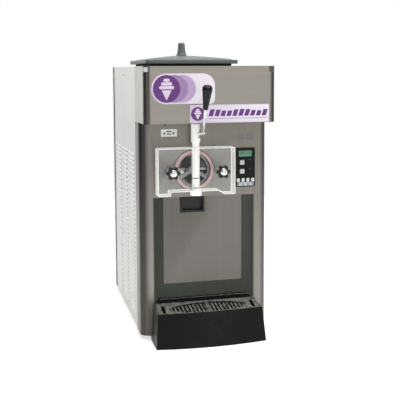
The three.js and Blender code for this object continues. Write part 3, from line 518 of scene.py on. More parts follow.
def finish_table():
    """Each finish's name, the function that makes it and that function's arguments."""
    cabinet, plastic, door, signs = (settings(group) for group in ("cabinet", "plastic", "door", "signs"))
    rough = cabinet.steel_roughness
    steel, side, inner = tuple(cabinet.steel), tuple(cabinet.side_steel), tuple(cabinet.inner_steel)
    black, edge, paper = tuple(plastic.black), tuple(door.edge), tuple(signs.paper)
    lilac, ink = tuple(signs.lilac), tuple(signs.ink)
    header_left = low("header_cover").x
    dust_and_sheen = (0.2, 0.208, 0.188)
    return {
        # front: 0.5 of painted shade round folded corners and 0.6 of painted shade along the left border
        "front_steel": (grained_steel, shade(steel, 0.98), rough, "Z", 0.5, 0.6),
        # header: the steel 1.5 times brighter as painted light for the better lit header, and 0.7 of painted
        # shade round folded corners
        "header_steel": (grained_steel, shade(steel, 1.5), rough - 0.03, "X", 0.7),
        # sides and rear panel: a paler steel, painted light for the better lit side panels
        "side_steel": (grained_steel, side, rough + 0.05),
        # splash panel: the steel at 0.61, painted shade on the lower front
        "splash_steel": (grained_steel, shade(steel, 0.61), rough - 0.02),
        # recess walls: near black, painted shade in the recess
        "recess_steel": (grained_steel, (0.049, 0.0515, 0.045), rough - 0.06),
        "tub_steel": (grained_steel, (0.6, 0.6, 0.6), 0.28, "X"),
        "louvre_steel": (grained_steel, (0.6, 0.593, 0.575), 0.42),
        # louvre slots: dark strips of painted shade under the hoods
        "slot_steel": (grained_steel, (0.2, 0.2, 0.195), 0.5),
        # barrel: near black, painted shade inside the barrel
        "barrel_steel": (grained_steel, (0.085, 0.083, 0.08), 0.34, "X"),
        "inner_steel": (galvanised, inner),
        "bright_metal": (bright_metal,),
        "cap_metal": (bright_metal, (0.86, 0.86, 0.85)),
        "fin_metal": (bright_metal, (0.6, 0.6, 0.6)),
        "black_plastic": (moulded, black, 0.38, 0.5, 0.18),
        "bezel_plastic": (moulded, shade(black, 0.7), 0.3, 0.1, 0.05, 0.16),
        "grip_plastic": (moulded, shade(black, 0.3), 0.22, 0.12, 0.05, 0.25),
        # drip tray: heavy pale dust on its upward faces, which also stands for a painted sheen
        "tray_plastic": (moulded, shade(black, 0.35), 0.36, 0.35, 2.0, 0.14, dust_and_sheen),
        "lid_plastic": (moulded, tuple(plastic.lid), 0.36, 0.5, 0.3),
        "grey_plastic": (moulded, tuple(plastic.grey), 0.4, 0.3, 0.1),
        "key_plastic": (moulded, (0.52, 0.53, 0.54), 0.34, 0.2, 0.05),
        "key_white": (moulded, (0.8, 0.8, 0.8), 0.3, 0.2, 0.03),
        "white_plastic": (acetal, tuple(plastic.white)),
        "rubber": (rubbery, tuple(plastic.rubber)),
        "seal": (rubbery, tuple(plastic.seal), 0.42),
        "clear_plate": (clear_plate, tuple(door.clear)),
        "frosted_edge": (frosted_edge, edge, 0.92, 0.1),
        "sawn_wall": (frosted_edge, edge, 0.42, 0.4),
        "casting": (casting, (0.1, 0.11, 0.12)),
        "compressor_paint": (casting, (0.02, 0.02, 0.022)),
        "finned_block": (finned_block,),
        "sign": (printed, paper, lilac, header_left + 0.2, header_left + 0.02),
        "wide_sign": (printed, paper, lilac, 0.15, -0.06),
        "label": (printed, (0.92, 0.92, 0.9)),
        "label_ink": (printed, (0.09, 0.09, 0.1)),
        "ink": (printed, ink),
        "ink_light": (printed, mix(0.55, ink, lilac)),
        "ink_pale": (printed, mix(0.2, ink, lilac)),
        "ink_faint": (printed, mix(0.1, lilac, paper)),
        "strip_film": (printed, (0.5, 0.52, 0.56)),
        "plate_film": (printed, (0.25, 0.24, 0.228)),
        "plate_ink": (printed, (0.17, 0.165, 0.17)),
        "display_ink": (printed, (0.015, 0.06, 0.03)),
        "display": (lit_display, tuple(signs.display)),
        "lamp": (lit_display, tuple(signs.lamp)),
    }


def make_finishes():
    for name, (make, *values) in finish_table().items():
        FINISHES[name] = make(name, *values)


# ---- meshes -------------------------------------------------------------------------------


def link(name, mesh):
    made = bpy.data.objects.new(name, mesh)
    bpy.context.scene.collection.objects.link(made)
    return made


def from_bmesh(name, bm):
    mesh = bpy.data.meshes.new(name)
    bm.to_mesh(mesh)
    bm.free()
    return link(name, mesh)


def band(bm, lower, upper):
    """Faces between two rings of points; a ring of one point closes the band to a tip."""
    sides = max(len(lower), len(upper))
    for i in range(sides):
        j = (i + 1) % sides
        corners = [lower[i % len(lower)], lower[j % len(lower)], upper[j % len(upper)], upper[i % len(upper)]]
        unique = [v for k, v in enumerate(corners) if v not in corners[:k]]
        if len(unique) > 2:
            bm.faces.new(unique)


def solid(name, bm, angle=32):
    """An object from a bmesh, with its faces turned outward and its curves smooth."""
    bmesh.ops.recalc_face_normals(bm, faces=bm.faces)
    made = from_bmesh(name, bm)
    smooth(made.data, angle)
    return made


def mend(made, angle=32):
    """Joins a skin's doubled points, closes its open rings and turns its faces outward."""
    bm = bmesh.new()
    bm.from_mesh(made.data)
    bmesh.ops.remove_doubles(bm, verts=bm.verts, dist=1e-6)
    bmesh.ops.holes_fill(bm, edges=[e for e in bm.edges if e.is_boundary], sides=0)
    bmesh.ops.recalc_face_normals(bm, faces=bm.faces)
    bm.to_mesh(made.data)
    bm.free()
    smooth(made.data, angle)


def circle(sides, start=0.0):
    """Unit steps round a circle: (cosine, sine) of each."""
    angles = [2 * math.pi * (i + start) / sides for i in range(sides)]
    return [(math.cos(a), math.sin(a)) for a in angles]


def smooth(mesh, angle=32):
    mesh.polygons.foreach_set("use_smooth", [True] * len(mesh.polygons))
    mesh.set_sharp_from_angle(angle=math.radians(angle))


def settle(made):
    """Turns an object's modifiers into plain mesh."""
    graph = bpy.context.evaluated_depsgraph_get()
    mesh = bpy.data.meshes.new_from_object(made.evaluated_get(graph))
    made.modifiers.clear()
    made.data = mesh
    smooth(mesh)
    return made


def paint(made, *names):
    made.data.materials.clear()
    for name in names:
        made.data.materials.append(FINISHES[name])
    return made


def seat(made, body, slot, *nodes):
    """Hands a finished piece to the frame: its body and the nodes it stands for, which it hides; its record
    slot is not used.
    """
    if nodes:
        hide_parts(*nodes)
    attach(made, body)
    return made


def bevel(made, width, segments=2, angle=38):
    edge = made.modifiers.new("edge", "BEVEL")
    edge.width = width
    edge.segments = segments
    edge.limit_method = "ANGLE"
    edge.angle_limit = math.radians(angle)
    return made


def cut(made, *tools):
    """Cuts closed tool objects out of a piece and removes them."""
    for tool in tools:
        step = made.modifiers.new("cut", "BOOLEAN")
        step.operation = "DIFFERENCE"
        step.solver = "EXACT"
        step.object = tool
    settle(made)
    for tool in tools:
        bpy.data.objects.remove(tool)
    return made


def merged_copy(node, suffix="skin"):
    """A copy of a CAD node with its triangles joined into flat faces."""
    mesh = frame["nodes"][node].data.copy()
    if "custom_normal" in mesh.attributes:
        mesh.attributes.remove(mesh.attributes["custom_normal"])
    bm = bmesh.new()
    bm.from_mesh(mesh)
    bmesh.ops.remove_doubles(bm, verts=bm.verts, dist=2e-6)
    bmesh.ops.dissolve_limit(bm, angle_limit=math.radians(0.4), verts=bm.verts, edges=bm.edges)
    bpy.data.meshes.remove(mesh)
    return from_bmesh(f"{node}_{suffix}", bm)


def refine(node, finish, slot, edge, segments=2):
    """The node with rounded edges and smooth curves, in place of the node."""
    made = settle(bevel(merged_copy(node), edge, segments))
    made.modifiers.new("normals", "WEIGHTED_NORMAL").keep_sharp = True
    settle(made)
    return seat(paint(made, finish), frame["nodes"][node]["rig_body"], slot, node)


def turn_matrix(axis):
    """Turns +Z to the named axis."""
    return {
        "Z": Matrix.Identity(3),
        "Y": Matrix(((1, 0, 0), (0, 0, 1), (0, -1, 0))),
        "-Y": Matrix(((1, 0, 0), (0, 0, -1), (0, 1, 0))),
        "X": Matrix(((0, 0, 1), (0, 1, 0), (-1, 0, 0))),
        "-X": Matrix(((0, 0, -1), (0, 1, 0), (1, 0, 0))),
    }[axis]


def lathe(name, profile, at, axis="Z", sides=64, ripple=None):
    """A turned solid from (radius, height) in millimetres; a closed ring repeats its first point."""
    bm = bmesh.new()
    turn = turn_matrix(axis) if isinstance(axis, str) else axis
    rings = []
    lobes = [ripple(2 * math.pi * i / sides) if ripple else 1 for i in range(sides)]
    for radius, height in profile:
        spread = [(radius * MM * lobe, x, y) for lobe, (x, y) in zip(lobes, circle(sides))]
        if radius == 0:
            spread = spread[:1]
        rings.append([bm.verts.new(turn @ Vector((r * x, r * y, height * MM)) + at) for r, x, y in spread])
    for lower, upper in zip(rings, rings[1:]):
        band(bm, lower, upper)
    bmesh.ops.remove_doubles(bm, verts=bm.verts, dist=1e-7)
    return solid(name, bm)


def slab(name, outline, facing, at, depth, edge=0.0, segments=2):
    """A plate from an outline in metres on the plane that faces the named way, with its back at `at`."""
    turn = facing_matrix(facing)
    bm = bmesh.new()
    back = [bm.verts.new(turn @ Vector((u, v, 0)) + at) for u, v in outline]
    front = [bm.verts.new(turn @ Vector((u, v, depth)) + at) for u, v in outline]
    bm.faces.new(front)
    bm.faces.new(back[::-1])
    band(bm, back, front)
    made = solid(name, bm)
    if edge:
        bevel(made, edge, segments, 50)
    return settle(made)


def facing_matrix(facing):
    """Columns: right, up and out, for a plane that faces the named way."""
    right, up, out = {
        "-Y": ((1, 0, 0), (0, 0, 1), (0, -1, 0)),
        "Z": ((1, 0, 0), (0, 1, 0), (0, 0, 1)),
        "X": ((0, 1, 0), (0, 0, 1), (1, 0, 0)),
        "-X": ((0, -1, 0), (0, 0, 1), (-1, 0, 0)),
    }[facing]
    return Matrix((right, up, out)).transposed()


def rounded(width, height, radius, steps=6, centre=(0, 0)):
    """Points round a rounded rectangle, anticlockwise."""
    points = []
    corners = ((1, -1, -90), (1, 1, 0), (-1, 1, 90), (-1, -1, 180))
    for sx, sy, start in corners:
        cx = centre[0] + sx * (width / 2 - radius)
        cy = centre[1] + sy * (height / 2 - radius)
        for i in range(steps + 1):
            angle = math.radians(start + 90 * i / steps)
            points.append((cx + radius * math.cos(angle), cy + radius * math.sin(angle)))
    return points


def stack(name, levels, capped=True):
    """A solid from level outlines with equal numbers of points: [(points in x and y, z), ...]."""
    bm = bmesh.new()
    rings = [[bm.verts.new((x, y, z)) for x, y in points] for points, z in levels]
    for lower, upper in zip(rings, rings[1:]):
        band(bm, lower, upper)
    if capped:
        bm.faces.new(rings[0][::-1])
        bm.faces.new(rings[-1])
    return solid(name, bm)


def block(name, centre, size):
    """A plain box from its middle and its three sizes."""
    bm = bmesh.new()
    bmesh.ops.create_cube(bm, size=1)
    for vert in bm.verts:
        vert.co = Vector((vert.co.x * size.x, vert.co.y * size.y, vert.co.z * size.z)) + centre
    return from_bmesh(name, bm)


def rod(name, axis, at, radius, length_):
    """A plain round bar."""
    return lathe(name, [(0, 0), (radius, 0), (radius, length_), (0, length_)], at, axis, 32)


def turned(name, node, profile, finish, body, slot, axis="Z", sides=56):
    """A turned piece in a node's place: it starts in the middle of the node's lower or front face."""
    at = middle(node)
    setattr(at, axis.lower(), getattr(low(node), axis.lower()))
    return seat(paint(lathe(name, profile, at, axis, sides), finish), body, slot, node)


def plate(outline, at, depth, finish, edge=0.0, segments=2):
    """A painted plate on the machine's front, with its back at `at`."""
    return paint(slab("plate", outline, "-Y", at, depth, edge, segments), finish)


def wire(name, points, radius):
    """A round bar with smooth bends through points."""
    curve = bpy.data.curves.new(name, "CURVE")
    curve.dimensions = "3D"
    curve.bevel_depth = radius
    curve.bevel_resolution = 10
    curve.resolution_u = 12
    curve.use_fill_caps = True
    spline = curve.splines.new("NURBS")
    spline.points.add(len(points) - 1)
    spline.use_endpoint_u = True
    spline.order_u = 3
    for point, place in zip(spline.points, points):
        point.co = (*place, 1)
    made = link(name, curve)
    graph = bpy.context.evaluated_depsgraph_get()
    mesh = bpy.data.meshes.new_from_object(made.evaluated_get(graph))
    bpy.data.objects.remove(made)
    smooth(mesh, 60)
    return link(name, mesh)


def joined(name, *objects):
    """One object from several, with each one's materials kept."""
    bm = bmesh.new()
    materials = []
    for made in objects:
        offset = len(materials)
        materials.extend(made.data.materials)
        start = len(bm.faces)
        bm.from_mesh(made.data)
        bm.faces.ensure_lookup_table()
        for face in bm.faces[start:]:
            face.material_index += offset
        bpy.data.objects.remove(made)
    result = from_bmesh(name, bm)
    for material in materials:
        result.data.materials.append(material)
    smooth(result.data)
    return result


# ---- geometry node trees ------------------------------------------------------------------


class Pattern(Graph):
    """A geometry node tree with named inputs, ending in Realize Instances and Set Material."""

    def __init__(self, name, **inputs):
        super().__init__(bpy.data.node_groups.new(name, "GeometryNodeTree"))
        face = self.tree.interface
        for key, value in inputs.items():
            kind = "NodeSocketInt" if isinstance(value, int) else "NodeSocketFloat"
            face.new_socket(key, in_out="INPUT", socket_type=kind).default_value = value
        for key in ("Item", "Places"):
            face.new_socket(key, in_out="INPUT", socket_type="NodeSocketObject")
        face.new_socket("Finish", in_out="INPUT", socket_type="NodeSocketMaterial")
        face.new_socket("Geometry", in_out="OUTPUT", socket_type="NodeSocketGeometry")
        self.entry = self.tree.nodes.new("NodeGroupInput")

    def given(self, name):
        return Value(self, self.entry.outputs[name])

    def shape(self, name):
        return self.node("GeometryNodeObjectInfo", inputs={"Object": self.given(name)}, output="Geometry")

    def vector(self, x, y, z):
        return self.node("ShaderNodeCombineXYZ", inputs={"X": x, "Y": y, "Z": z})

    def line(self, count, place):
        """As many points as count, each moved to its own place."""
        points = self.node("GeometryNodeMeshLine", inputs={"Count": count})
        return self.node("GeometryNodeSetPosition", inputs={"Geometry": points, "Position": place})

    def vertices(self):
        return self.node("GeometryNodeMeshToPoints", inputs={"Mesh": self.shape("Places")})

    def close(self, points, **choices):
        """Puts the item on each point, makes the copies real and paints them."""
        inputs = {"Points": points, "Instance": self.shape("Item"), **choices}
        items = self.node("GeometryNodeInstanceOnPoints", inputs=inputs)
        real = self.node("GeometryNodeRealizeInstances", inputs={"Geometry": items})
        inputs = {"Geometry": real, "Material": self.given("Finish")}
        self.node("NodeGroupOutput", inputs={0: self.node("GeometryNodeSetMaterial", inputs=inputs)})
        return self.tree


def grow(name, tree, finish, **inputs):
    """Runs a geometry node tree and keeps its result as a plain mesh."""
    made = link(name, bpy.data.meshes.new(name))
    step = made.modifiers.new("pattern", "NODES")
    step.node_group = tree
    inputs["Finish"] = FINISHES[finish]
    for key, value in inputs.items():
        socket = tree.interface.items_tree[key]
        step[socket.identifier] = value
    settle(made)
    for helper in ("Item", "Places"):
        if isinstance(inputs.get(helper), bpy.types.Object):
            bpy.data.objects.remove(inputs[helper])
    return made


def grid_pattern():
    """Rows and columns of an item on the plane that X faces."""
    pattern = Pattern(
        "grid_pattern", Rows=2, Columns=2, Row_pitch=0.1, Column_pitch=0.1, Across=0.0, Along=0.0, Up=0.0
    )
    rows = pattern.given("Rows")
    index = pattern.node("GeometryNodeInputIndex")
    column = pattern.math("FLOOR", (index + 0.5) / rows)
    row = index - column * rows
    along = pattern.given("Along") + column * pattern.given("Column_pitch")
    up = pattern.given("Up") + row * pattern.given("Row_pitch")
    place = pattern.vector(pattern.given("Across"), along, up)
    return pattern.close(pattern.line(rows * pattern.given("Columns"), place))


def scatter_pattern():
    """An item at each vertex of the places mesh, turned about the panel's normal by its own seeded angle."""
    pattern = Pattern("scatter_pattern", Seed=3, Axis_X=0.0, Axis_Y=0.0, Axis_Z=1.0)
    axis = pattern.vector(*[pattern.given(f"Axis_{letter}") for letter in "XYZ"])
    inputs = {"Max_001": 2 * math.pi, "Seed": pattern.given("Seed")}
    spin = pattern.node("FunctionNodeRandomValue", {"data_type": "FLOAT"}, inputs, "Value_001")
    turn = pattern.node("FunctionNodeAxisAngleToRotation", inputs={"Axis": axis, "Angle": spin})
    return pattern.close(pattern.vertices(), Rotation=turn)


def oval_pattern():
    """Bars across an oval, each as long as the oval is there."""
    pattern = Pattern(
        "oval_pattern", Count=9, Pitch=0.01, Half_length=0.1, Half_width=0.03, Middle_Y=0.0, Height=0.0
    )
    count = pattern.given("Count")
    index = pattern.node("GeometryNodeInputIndex")
    x = (index - (count - 1) * 0.5) * pattern.given("Pitch")
    share = x / pattern.given("Half_length")
    reach = pattern.math("SQRT", pattern.math("MAXIMUM", 1 - share * share, 0.02))
    place = pattern.vector(x, pattern.given("Middle_Y"), pattern.given("Height"))
    stretch = pattern.vector(1.0, reach * pattern.given("Half_width"), 1.0)
    return pattern.close(pattern.line(count, place), Scale=stretch)


def row_pattern():
    """An item at each vertex of the places mesh, all facing the same way."""
    pattern = Pattern("row_pattern")
    return pattern.close(pattern.vertices())


def points_object(places):
    mesh = bpy.data.meshes.new("places")
    mesh.from_pydata([tuple(p) for p in places], [], [])
    return link("places", mesh)


def spot(node, u, v, w):
    """A place in a node's box, as shares of its width, depth and height."""
    lowest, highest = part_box(node)
    size = highest - lowest
    return lowest + Vector((size.x * u, size.y * v, size.z * w))


class Build(bpy.types.Operator):
    """Shared base: each piece operator builds once and reports an error by raising."""

    bl_idname = "soft_serve.build"
    bl_label = "Build"
    bl_options = {"REGISTER", "UNDO"}

    # rows of (node, finish, record slot, edge width, bevel segments) for the nodes that refine() dresses
    REFINED = ()

    def execute(self, context):
        for row in self.REFINED:
            refine(*row)
        self.make(context)
        return {"FINISHED"}

    def make(self, context):
        """Builds whatever refining the nodes leaves out."""


# ---- cabinet ------------------------------------------------------------------------------


class MakeSheets(Build):
    """The folded sheets of the cabinet, with rolled edges and a grain"""

    bl_idname = "soft_serve.sheets"
    bl_label = "Cabinet sheets"

    def make(self, context):
        for node, finish, slot in (
            ("front_panel", "front_steel", "cabinet_steel"),
            ("splash_panel", "splash_steel", "cabinet_steel"),
            ("header_cover", "header_steel", "cabinet_steel"),
            ("rear_panel", "side_steel", "cabinet_steel"),
            ("side_panel_left", "side_steel", "cabinet_steel"),
            ("side_panel_right", "side_steel", "cabinet_steel"),
            ("top_deck", "front_steel", "cabinet_steel"),
            ("base_pan", "inner_steel", "inner_steel"),
            ("inner_frame", "inner_steel", "inner_steel"),
        ):
            refine(node, finish, slot, settings("cabinet").sheet_edge)
        self.darken_recess()

    @staticmethod
    def darken_recess():
        """The splayed walls of the recess take a much darker finish: painted shade in the recess."""
        made = bpy.data.objects["splash_panel_skin"]
        made.data.materials.append(FINISHES["recess_steel"])
        for face in made.data.polygons:
            if max(abs(face.normal.x), abs(face.normal.z)) > 0.2:
                face.material_index = 1


def louvre_hood(length_, height, rise):
    """One pressed hood on a side panel: flush at its top and ends, open underneath."""
    across = (0.0, 0.25, 0.62, 0.9, 1.0)
    down = (0.5, 0.3, 0.02, -0.28, -0.5)
    along = (-1.0, -0.97, -0.9, 0.9, 0.97, 1.0)
    lift = (0.0, 0.55, 1.0, 1.0, 0.55, 0.0)
    wall = 0.28
    bm = bmesh.new()
    skins = []
    for inset in (0.0, wall):
        rows = []
        for step, high_ in zip(along, lift):
            row = []
            for out, drop in zip(across, down):
                x = rise * (out * high_ * (1 - inset) - inset * 0.05)
                row.append(bm.verts.new((x, step * length_ / 2, drop * height)))
            rows.append(row)
        skins.append(rows)
    last_row, last = len(along) - 1, len(across) - 1
    for rows in skins:
        for near_row, far_row in zip(rows, rows[1:]):
            for k in range(last):
                bm.faces.new((near_row[k], near_row[k + 1], far_row[k + 1], far_row[k]))
    outer, inner = skins
    for i in range(last_row):
        bm.faces.new((outer[i][last], inner[i][last], inner[i + 1][last], outer[i + 1][last]))
        bm.faces.new((outer[i][0], outer[i + 1][0], inner[i + 1][0], inner[i][0]))
    for end in (0, last_row):
        for k in range(last):
            bm.faces.new((outer[end][k], inner[end][k], inner[end][k + 1], outer[end][k + 1]))
    return solid("hood", bm, 50)


class MakeLouvres(Build):
    """The pressed louvres of both side panels, in three columns"""

    bl_idname = "soft_serve.louvres"
    bl_label = "Side louvres"

    SLOT = 0.0028  # height of the dark strip of painted shade under a hood
    FIELD = 0.526 - 0.043  # from the lowest louvre's middle to the highest one's
    FIRST = (0.1735, 0.0445)  # the first louvre's middle, behind the front and above the counter
    COLUMN_PITCH = 0.14

    def make(self, context):
        cabinet = settings("cabinet")
        tree = grid_pattern()
        behind, up = self.FIRST
        for side, hand in SIDES:
            hood = louvre_hood(cabinet.louvre_length, cabinet.louvre_height, cabinet.louvre_rise)
            hood.data.transform(Matrix.Diagonal((side, 1, 1, 1)))
            if side < 0:
                hood.data.flip_normals()
            drop = cabinet.louvre_height / 2 + self.SLOT / 2 + 0.0002
            # a dark strip of painted shade under each hood
            shape = rounded(cabinet.louvre_length * 0.96, self.SLOT, 0.0006, 2, (0, -drop))
            slot = slab("slot", shape, "X" if side > 0 else "-X", Vector((0, 0, 0)), 0.0002)
            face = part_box(f"side_panel_{hand}")[side > 0].x
            for name, item, finish, across in (
                ("louvres", hood, "louvre_steel", face - side * 0.00002),
                ("louvre_slots", slot, "slot_steel", face),
            ):
                made = grow(
                    f"{name}_{hand}", tree, finish, Item=item, Rows=cabinet.louvre_rows, Columns=3,
                    Row_pitch=self.FIELD / (cabinet.louvre_rows - 1), Column_pitch=self.COLUMN_PITCH,
                    Across=across, Along=FRONT_Y + behind, Up=up,
                )
                seat(made, "cabinet", "cabinet_steel")


def screw_head(radius, height):
    """A pan head with a cross recess, standing on the XY plane."""
    bm = bmesh.new()
    steps = circle(16, 0.5)
    rings = [[level] * len(steps) for level in ((1.0, 0.0), (1.0, 0.45), (0.86, 0.85), (0.62, 1.0))]
    arms = [0.55 if abs(2 * x * y) < 0.5 else 0.2 for x, y in steps]
    rings.append([(reach, 0.98) for reach in arms])
    rings.append([(reach * 0.8, 0.45) for reach in arms])
    loops = [
        [bm.verts.new((radius * share * x, radius * share * y, height * rise))
         for (x, y), (share, rise) in zip(steps, ring)]
        for ring in rings
    ]
    for lower, upper in zip(loops, loops[1:]):
        band(bm, lower, upper)
    bm.faces.new(loops[-1])
    bm.faces.new(loops[0][::-1])
    return solid("screw_head", bm, 40)


def screws(name, tree, axis, places, radius, height=0.0017, finish="bright_metal"):
    head = screw_head(radius, height)
    turn = turn_matrix(axis)
    head.data.transform(turn.to_4x4())
    out = turn @ Vector((0, 0, 1))
    ways = {"Axis_X": out.x, "Axis_Y": out.y, "Axis_Z": out.z}
    made = grow(name, tree, finish, Item=head, Places=points_object(places), **ways)
    return seat(made, "cabinet", "bright_metal")


class MakeScrews(Build):
    """The cross-head screws that hold the cabinet's panels"""

    bl_idname = "soft_serve.screws"
    bl_label = "Cabinet screws"

    def make(self, context):
        radius = settings("cabinet").screw_radius
        tree = scatter_pattern()
        edges = ((0.035, 0.03), (0.035, 0.5), (0.035, 0.86), (0.965, 0.965), (0.5, 0.965), (0.5, 0.018))
        for side, hand in SIDES:
            places = [spot(f"side_panel_{hand}", int(side > 0), along, up) for along, up in edges]
            screws(f"screws_{hand}", tree, "X" if side > 0 else "-X", places, radius)
        rear = [(across, up) for across in (0.03, 0.35, 0.65, 0.97) for up in (0.02, 0.98)]
        rear += [(0.03, 0.5), (0.97, 0.5)]
        screws("screws_rear", tree, "Y", [spot("rear_panel", across, 1, up) for across, up in rear], radius)
        deck = [spot("top_deck", across, along, 1) for across in (0.06, 0.94) for along in (0.3, 0.62, 0.94)]
        screws("screws_deck", tree, "Z", deck, radius)
        header = low("header_cover")
        below_header = [Vector((header.x + 0.076, FRONT_Y, header.z - 0.009))]
        screws("screw_front", tree, "-Y", below_header, radius * 0.6, 0.0012, finish="barrel_steel")


class MakeFeet(Build):
    """The four rubber feet, each with a moulded foot ring and a screw"""

    bl_idname = "soft_serve.feet"
    bl_label = "Feet"

    def make(self, context):
        profile = [(0, 1.6), (5, 1.6), (5.6, 0.6), (9, 0.6), (9.6, 0), (16.6, 0), (18, 1.2), (17.4, 3.4),
                   (16.9, 4.2), (16.4, 8), (0, 8)]
        for end in ("front", "rear"):
            for side in ("left", "right"):
                node = f"foot_{end}_{side}"
                turned(f"{node}_rubber", node, profile, "rubber", "cabinet", "seal_black", sides=40)


# ---- hopper and lid -----------------------------------------------------------------------


def lid_level(half, inset, radius, z, centre):
    """A rounded rectangle inside the given half size, as points and their height."""
    return rounded((half.x - inset) * 2, (half.y - inset) * 2, radius, 8, (centre.x, centre.y)), z


class MakeLid(Build):
    """The hopper's moulded lid: a rolled rim, a bead, and a low dome that rises to its knob"""

    bl_idname = "soft_serve.lid"
    bl_label = "Hopper lid"

    # (inset from the lid's edge, corner radius, height above its underside), in millimetres
    RIM = (
        (34, 12, 5.5), (31, 12, 0.2), (1.6, 14, 0), (0.3, 15, 1.2), (0, 15.5, 3), (0, 15.5, 9),
        (0.4, 15.2, 10.7), (1.6, 14, 11.7), (3.2, 13, 12), (10, 11, 11.8), (11.2, 10.5, 11), (12.4, 10, 11),
        (14, 10, 12.4), (17.5, 10, 14.2),
    )
    KNOB = (
        (0, 0), (16.3, 0), (16.5, 0.8), (16.2, 2.4), (15.2, 4.4), (14.2, 7), (13.2, 11), (12.3, 17),
        (11.6, 24), (11.1, 31), (10.8, 35.6), (10.1, 38), (8.8, 39.5), (6.4, 40.4), (3.2, 40.7), (0, 40.7),
    )
    # (inset in millimetres, share of the seal's height)
    SEAL = (
        (0, 0), (0, 0.25), (1.2, 0.32), (1.2, 0.42), (0, 0.5), (0, 0.75), (1, 0.95), (2.5, 1), (10.5, 1),
        (12, 0.9), (12, 0.1), (10.5, 0),
    )

    def make(self, context):
        lowest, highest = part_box("hopper_lid")
        centre, half = (lowest + highest) / 2, (highest - lowest) / 2
        levels = [
            lid_level(half, inset * MM, radius * MM, lowest.z + rise * MM, centre)
            for inset, radius, rise in self.RIM
        ]
        inset, _, rise = self.RIM[-1]
        outer = half - Vector((inset, inset, 0)) * MM
        outer.z = lowest.z + rise * MM
        inner = Vector((0.021, 0.021, highest.z - 0.0004))
        for share in (0.25, 0.5, 0.75, 0.92, 1.0):
            edge = outer.lerp(inner, share)
            sag = 0.0012 * math.sin(math.pi * share)
            levels.append(lid_level(edge, 0, 0.01 + 0.0095 * share, edge.z + sag, centre))
        levels.append(lid_level(Vector((0.0185, 0.0185)), 0, 0.0175, highest.z, centre))
        made = stack("hopper_lid_moulding", levels)
        smooth(made.data, 24)
        seat(paint(made, "lid_plastic"), "lid", "lid_plastic", "hopper_lid")
        turned("lid_knob_moulding", "lid_knob", self.KNOB, "lid_plastic", "lid", "black_plastic")
        self.seal()

    def seal(self):
        lowest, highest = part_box("lid_gasket")
        centre, half = (lowest + highest) / 2, (highest - lowest) / 2
        rise = highest.z - lowest.z
        levels = [
            lid_level(half, inset * MM, (6.5 - inset * 0.25) * MM, lowest.z + rise * up, centre)
            for inset, up in self.SEAL
        ]
        made = stack("lid_seal", levels + levels[:1], capped=False)
        mend(made, 40)
        seat(paint(made, "rubber"), "lid", "seal_black", "lid_gasket")


class MakeHopper(Build):
    """The pressed hopper tub and the air tube that stands in it"""

    bl_idname = "soft_serve.hopper"
    bl_label = "Hopper and air tube"

    REFINED = (
        ("hopper", "tub_steel", "tub_steel", 0.0005),
        ("air_tube", "white_plastic", "white_plastic", 0.0006, 3),
    )


# ---- freezing barrel and drive ------------------------------------------------------------


class MakeFreezer(Build):
    """The freezing barrel with its beater, front support and rear bearing"""

    bl_idname = "soft_serve.freezer"
    bl_label = "Freezing barrel"

    REFINED = (
        ("freezing_barrel", "barrel_steel", "tub_steel", 0.0004),
        ("beater", "louvre_steel", "tub_steel", 0.0005),
        ("shaft_bearing", "black_plastic", "black_plastic", 0.0004),
        ("beater_support", "grey_plastic", "grey_plastic", 0.0009, 3),
    )


class MakeDrive(Build):
    """The motor, belt, pulleys and gearbox behind the barrel"""

    bl_idname = "soft_serve.drive"
    bl_label = "Drive"

    REFINED = (
        ("gearbox", "casting", "cast_metal", 0.003, 3),
        ("drive_motor", "casting", "cast_metal", 0.002, 3),
        ("gearbox_pulley", "inner_steel", "cast_metal", 0.0006),
        ("motor_pulley", "inner_steel", "cast_metal", 0.0006),
        ("drive_belt", "rubber", "seal_black", 0.0006),
    )


class MakeCooling(Build):
    """The compressor, condenser and fan behind the rear vents"""

    bl_idname = "soft_serve.cooling"
    bl_label = "Cooling set"

    REFINED = (
        ("compressor", "compressor_paint", "black_plastic", 0.003, 4),
        ("condenser", "finned_block", "copper", 0.0008),
        ("fan_motor", "casting", "cast_metal", 0.001),
        ("fan_blades", "grey_plastic", "grey_plastic", 0.0007),
    )
    FINS = 60
    FIN = (0.0004, 0.0016)  # a fin's thickness and how far it is deep

    def make(self, context):
        lowest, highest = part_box("condenser")
        thick, depth = self.FIN
        fin = block("fin", Vector((0, 0, 0)), Vector((thick, depth, (highest.z - lowest.z) * 0.96)))
        step = (highest.x - lowest.x) / (self.FINS + 1)
        y, z = highest.y + depth * 0.4, (lowest.z + highest.z) / 2
        places = [(lowest.x + step * (i + 1), y, z) for i in range(self.FINS)]
        made = grow("condenser_fins", row_pattern(), "fin_metal", Item=fin, Places=points_object(places))
        seat(made, "cabinet", "copper")
        refine("power_inlet", "black_plastic", "black_plastic", 0.0009, 3)


# ---- dispensing door ----------------------------------------------------------------------


def door_outline():
    """The door's outline seen from the front: a plate with a leg at each lower corner."""
    left, right, top, foot = DOOR_LOW.x, DOOR_HIGH.x, DOOR_HIGH.z, DOOR_LOW.z
    sill = foot + 0.011
    corners = [
        (left, foot, 3), (left + 0.037, foot, 3), (left + 0.037, sill, 2),
        (right - 0.045, sill, 5), (right - 0.033, foot, 5), (right, foot, 3), (right, top, 4), (left, top, 4),
    ]
    return soften(corners)


def soften(corners, steps=4):
    """Rounds each corner (x, y, radius in mm) of a polygon with a short curve."""
    points = []
    count = len(corners)
    for i, (x, y, radius) in enumerate(corners):
        here = Vector((x, y))
        before = Vector(corners[i - 1][:2]) - here
        after = Vector(corners[(i + 1) % count][:2]) - here
        reach = min(radius * MM, before.length * 0.45, after.length * 0.45)
        start = here + before.normalized() * reach
        end = here + after.normalized() * reach
        for k in range(steps + 1):
            t = k / steps
            points.append(tuple(start.lerp(here, t).lerp(here.lerp(end, t), t)))
    return points


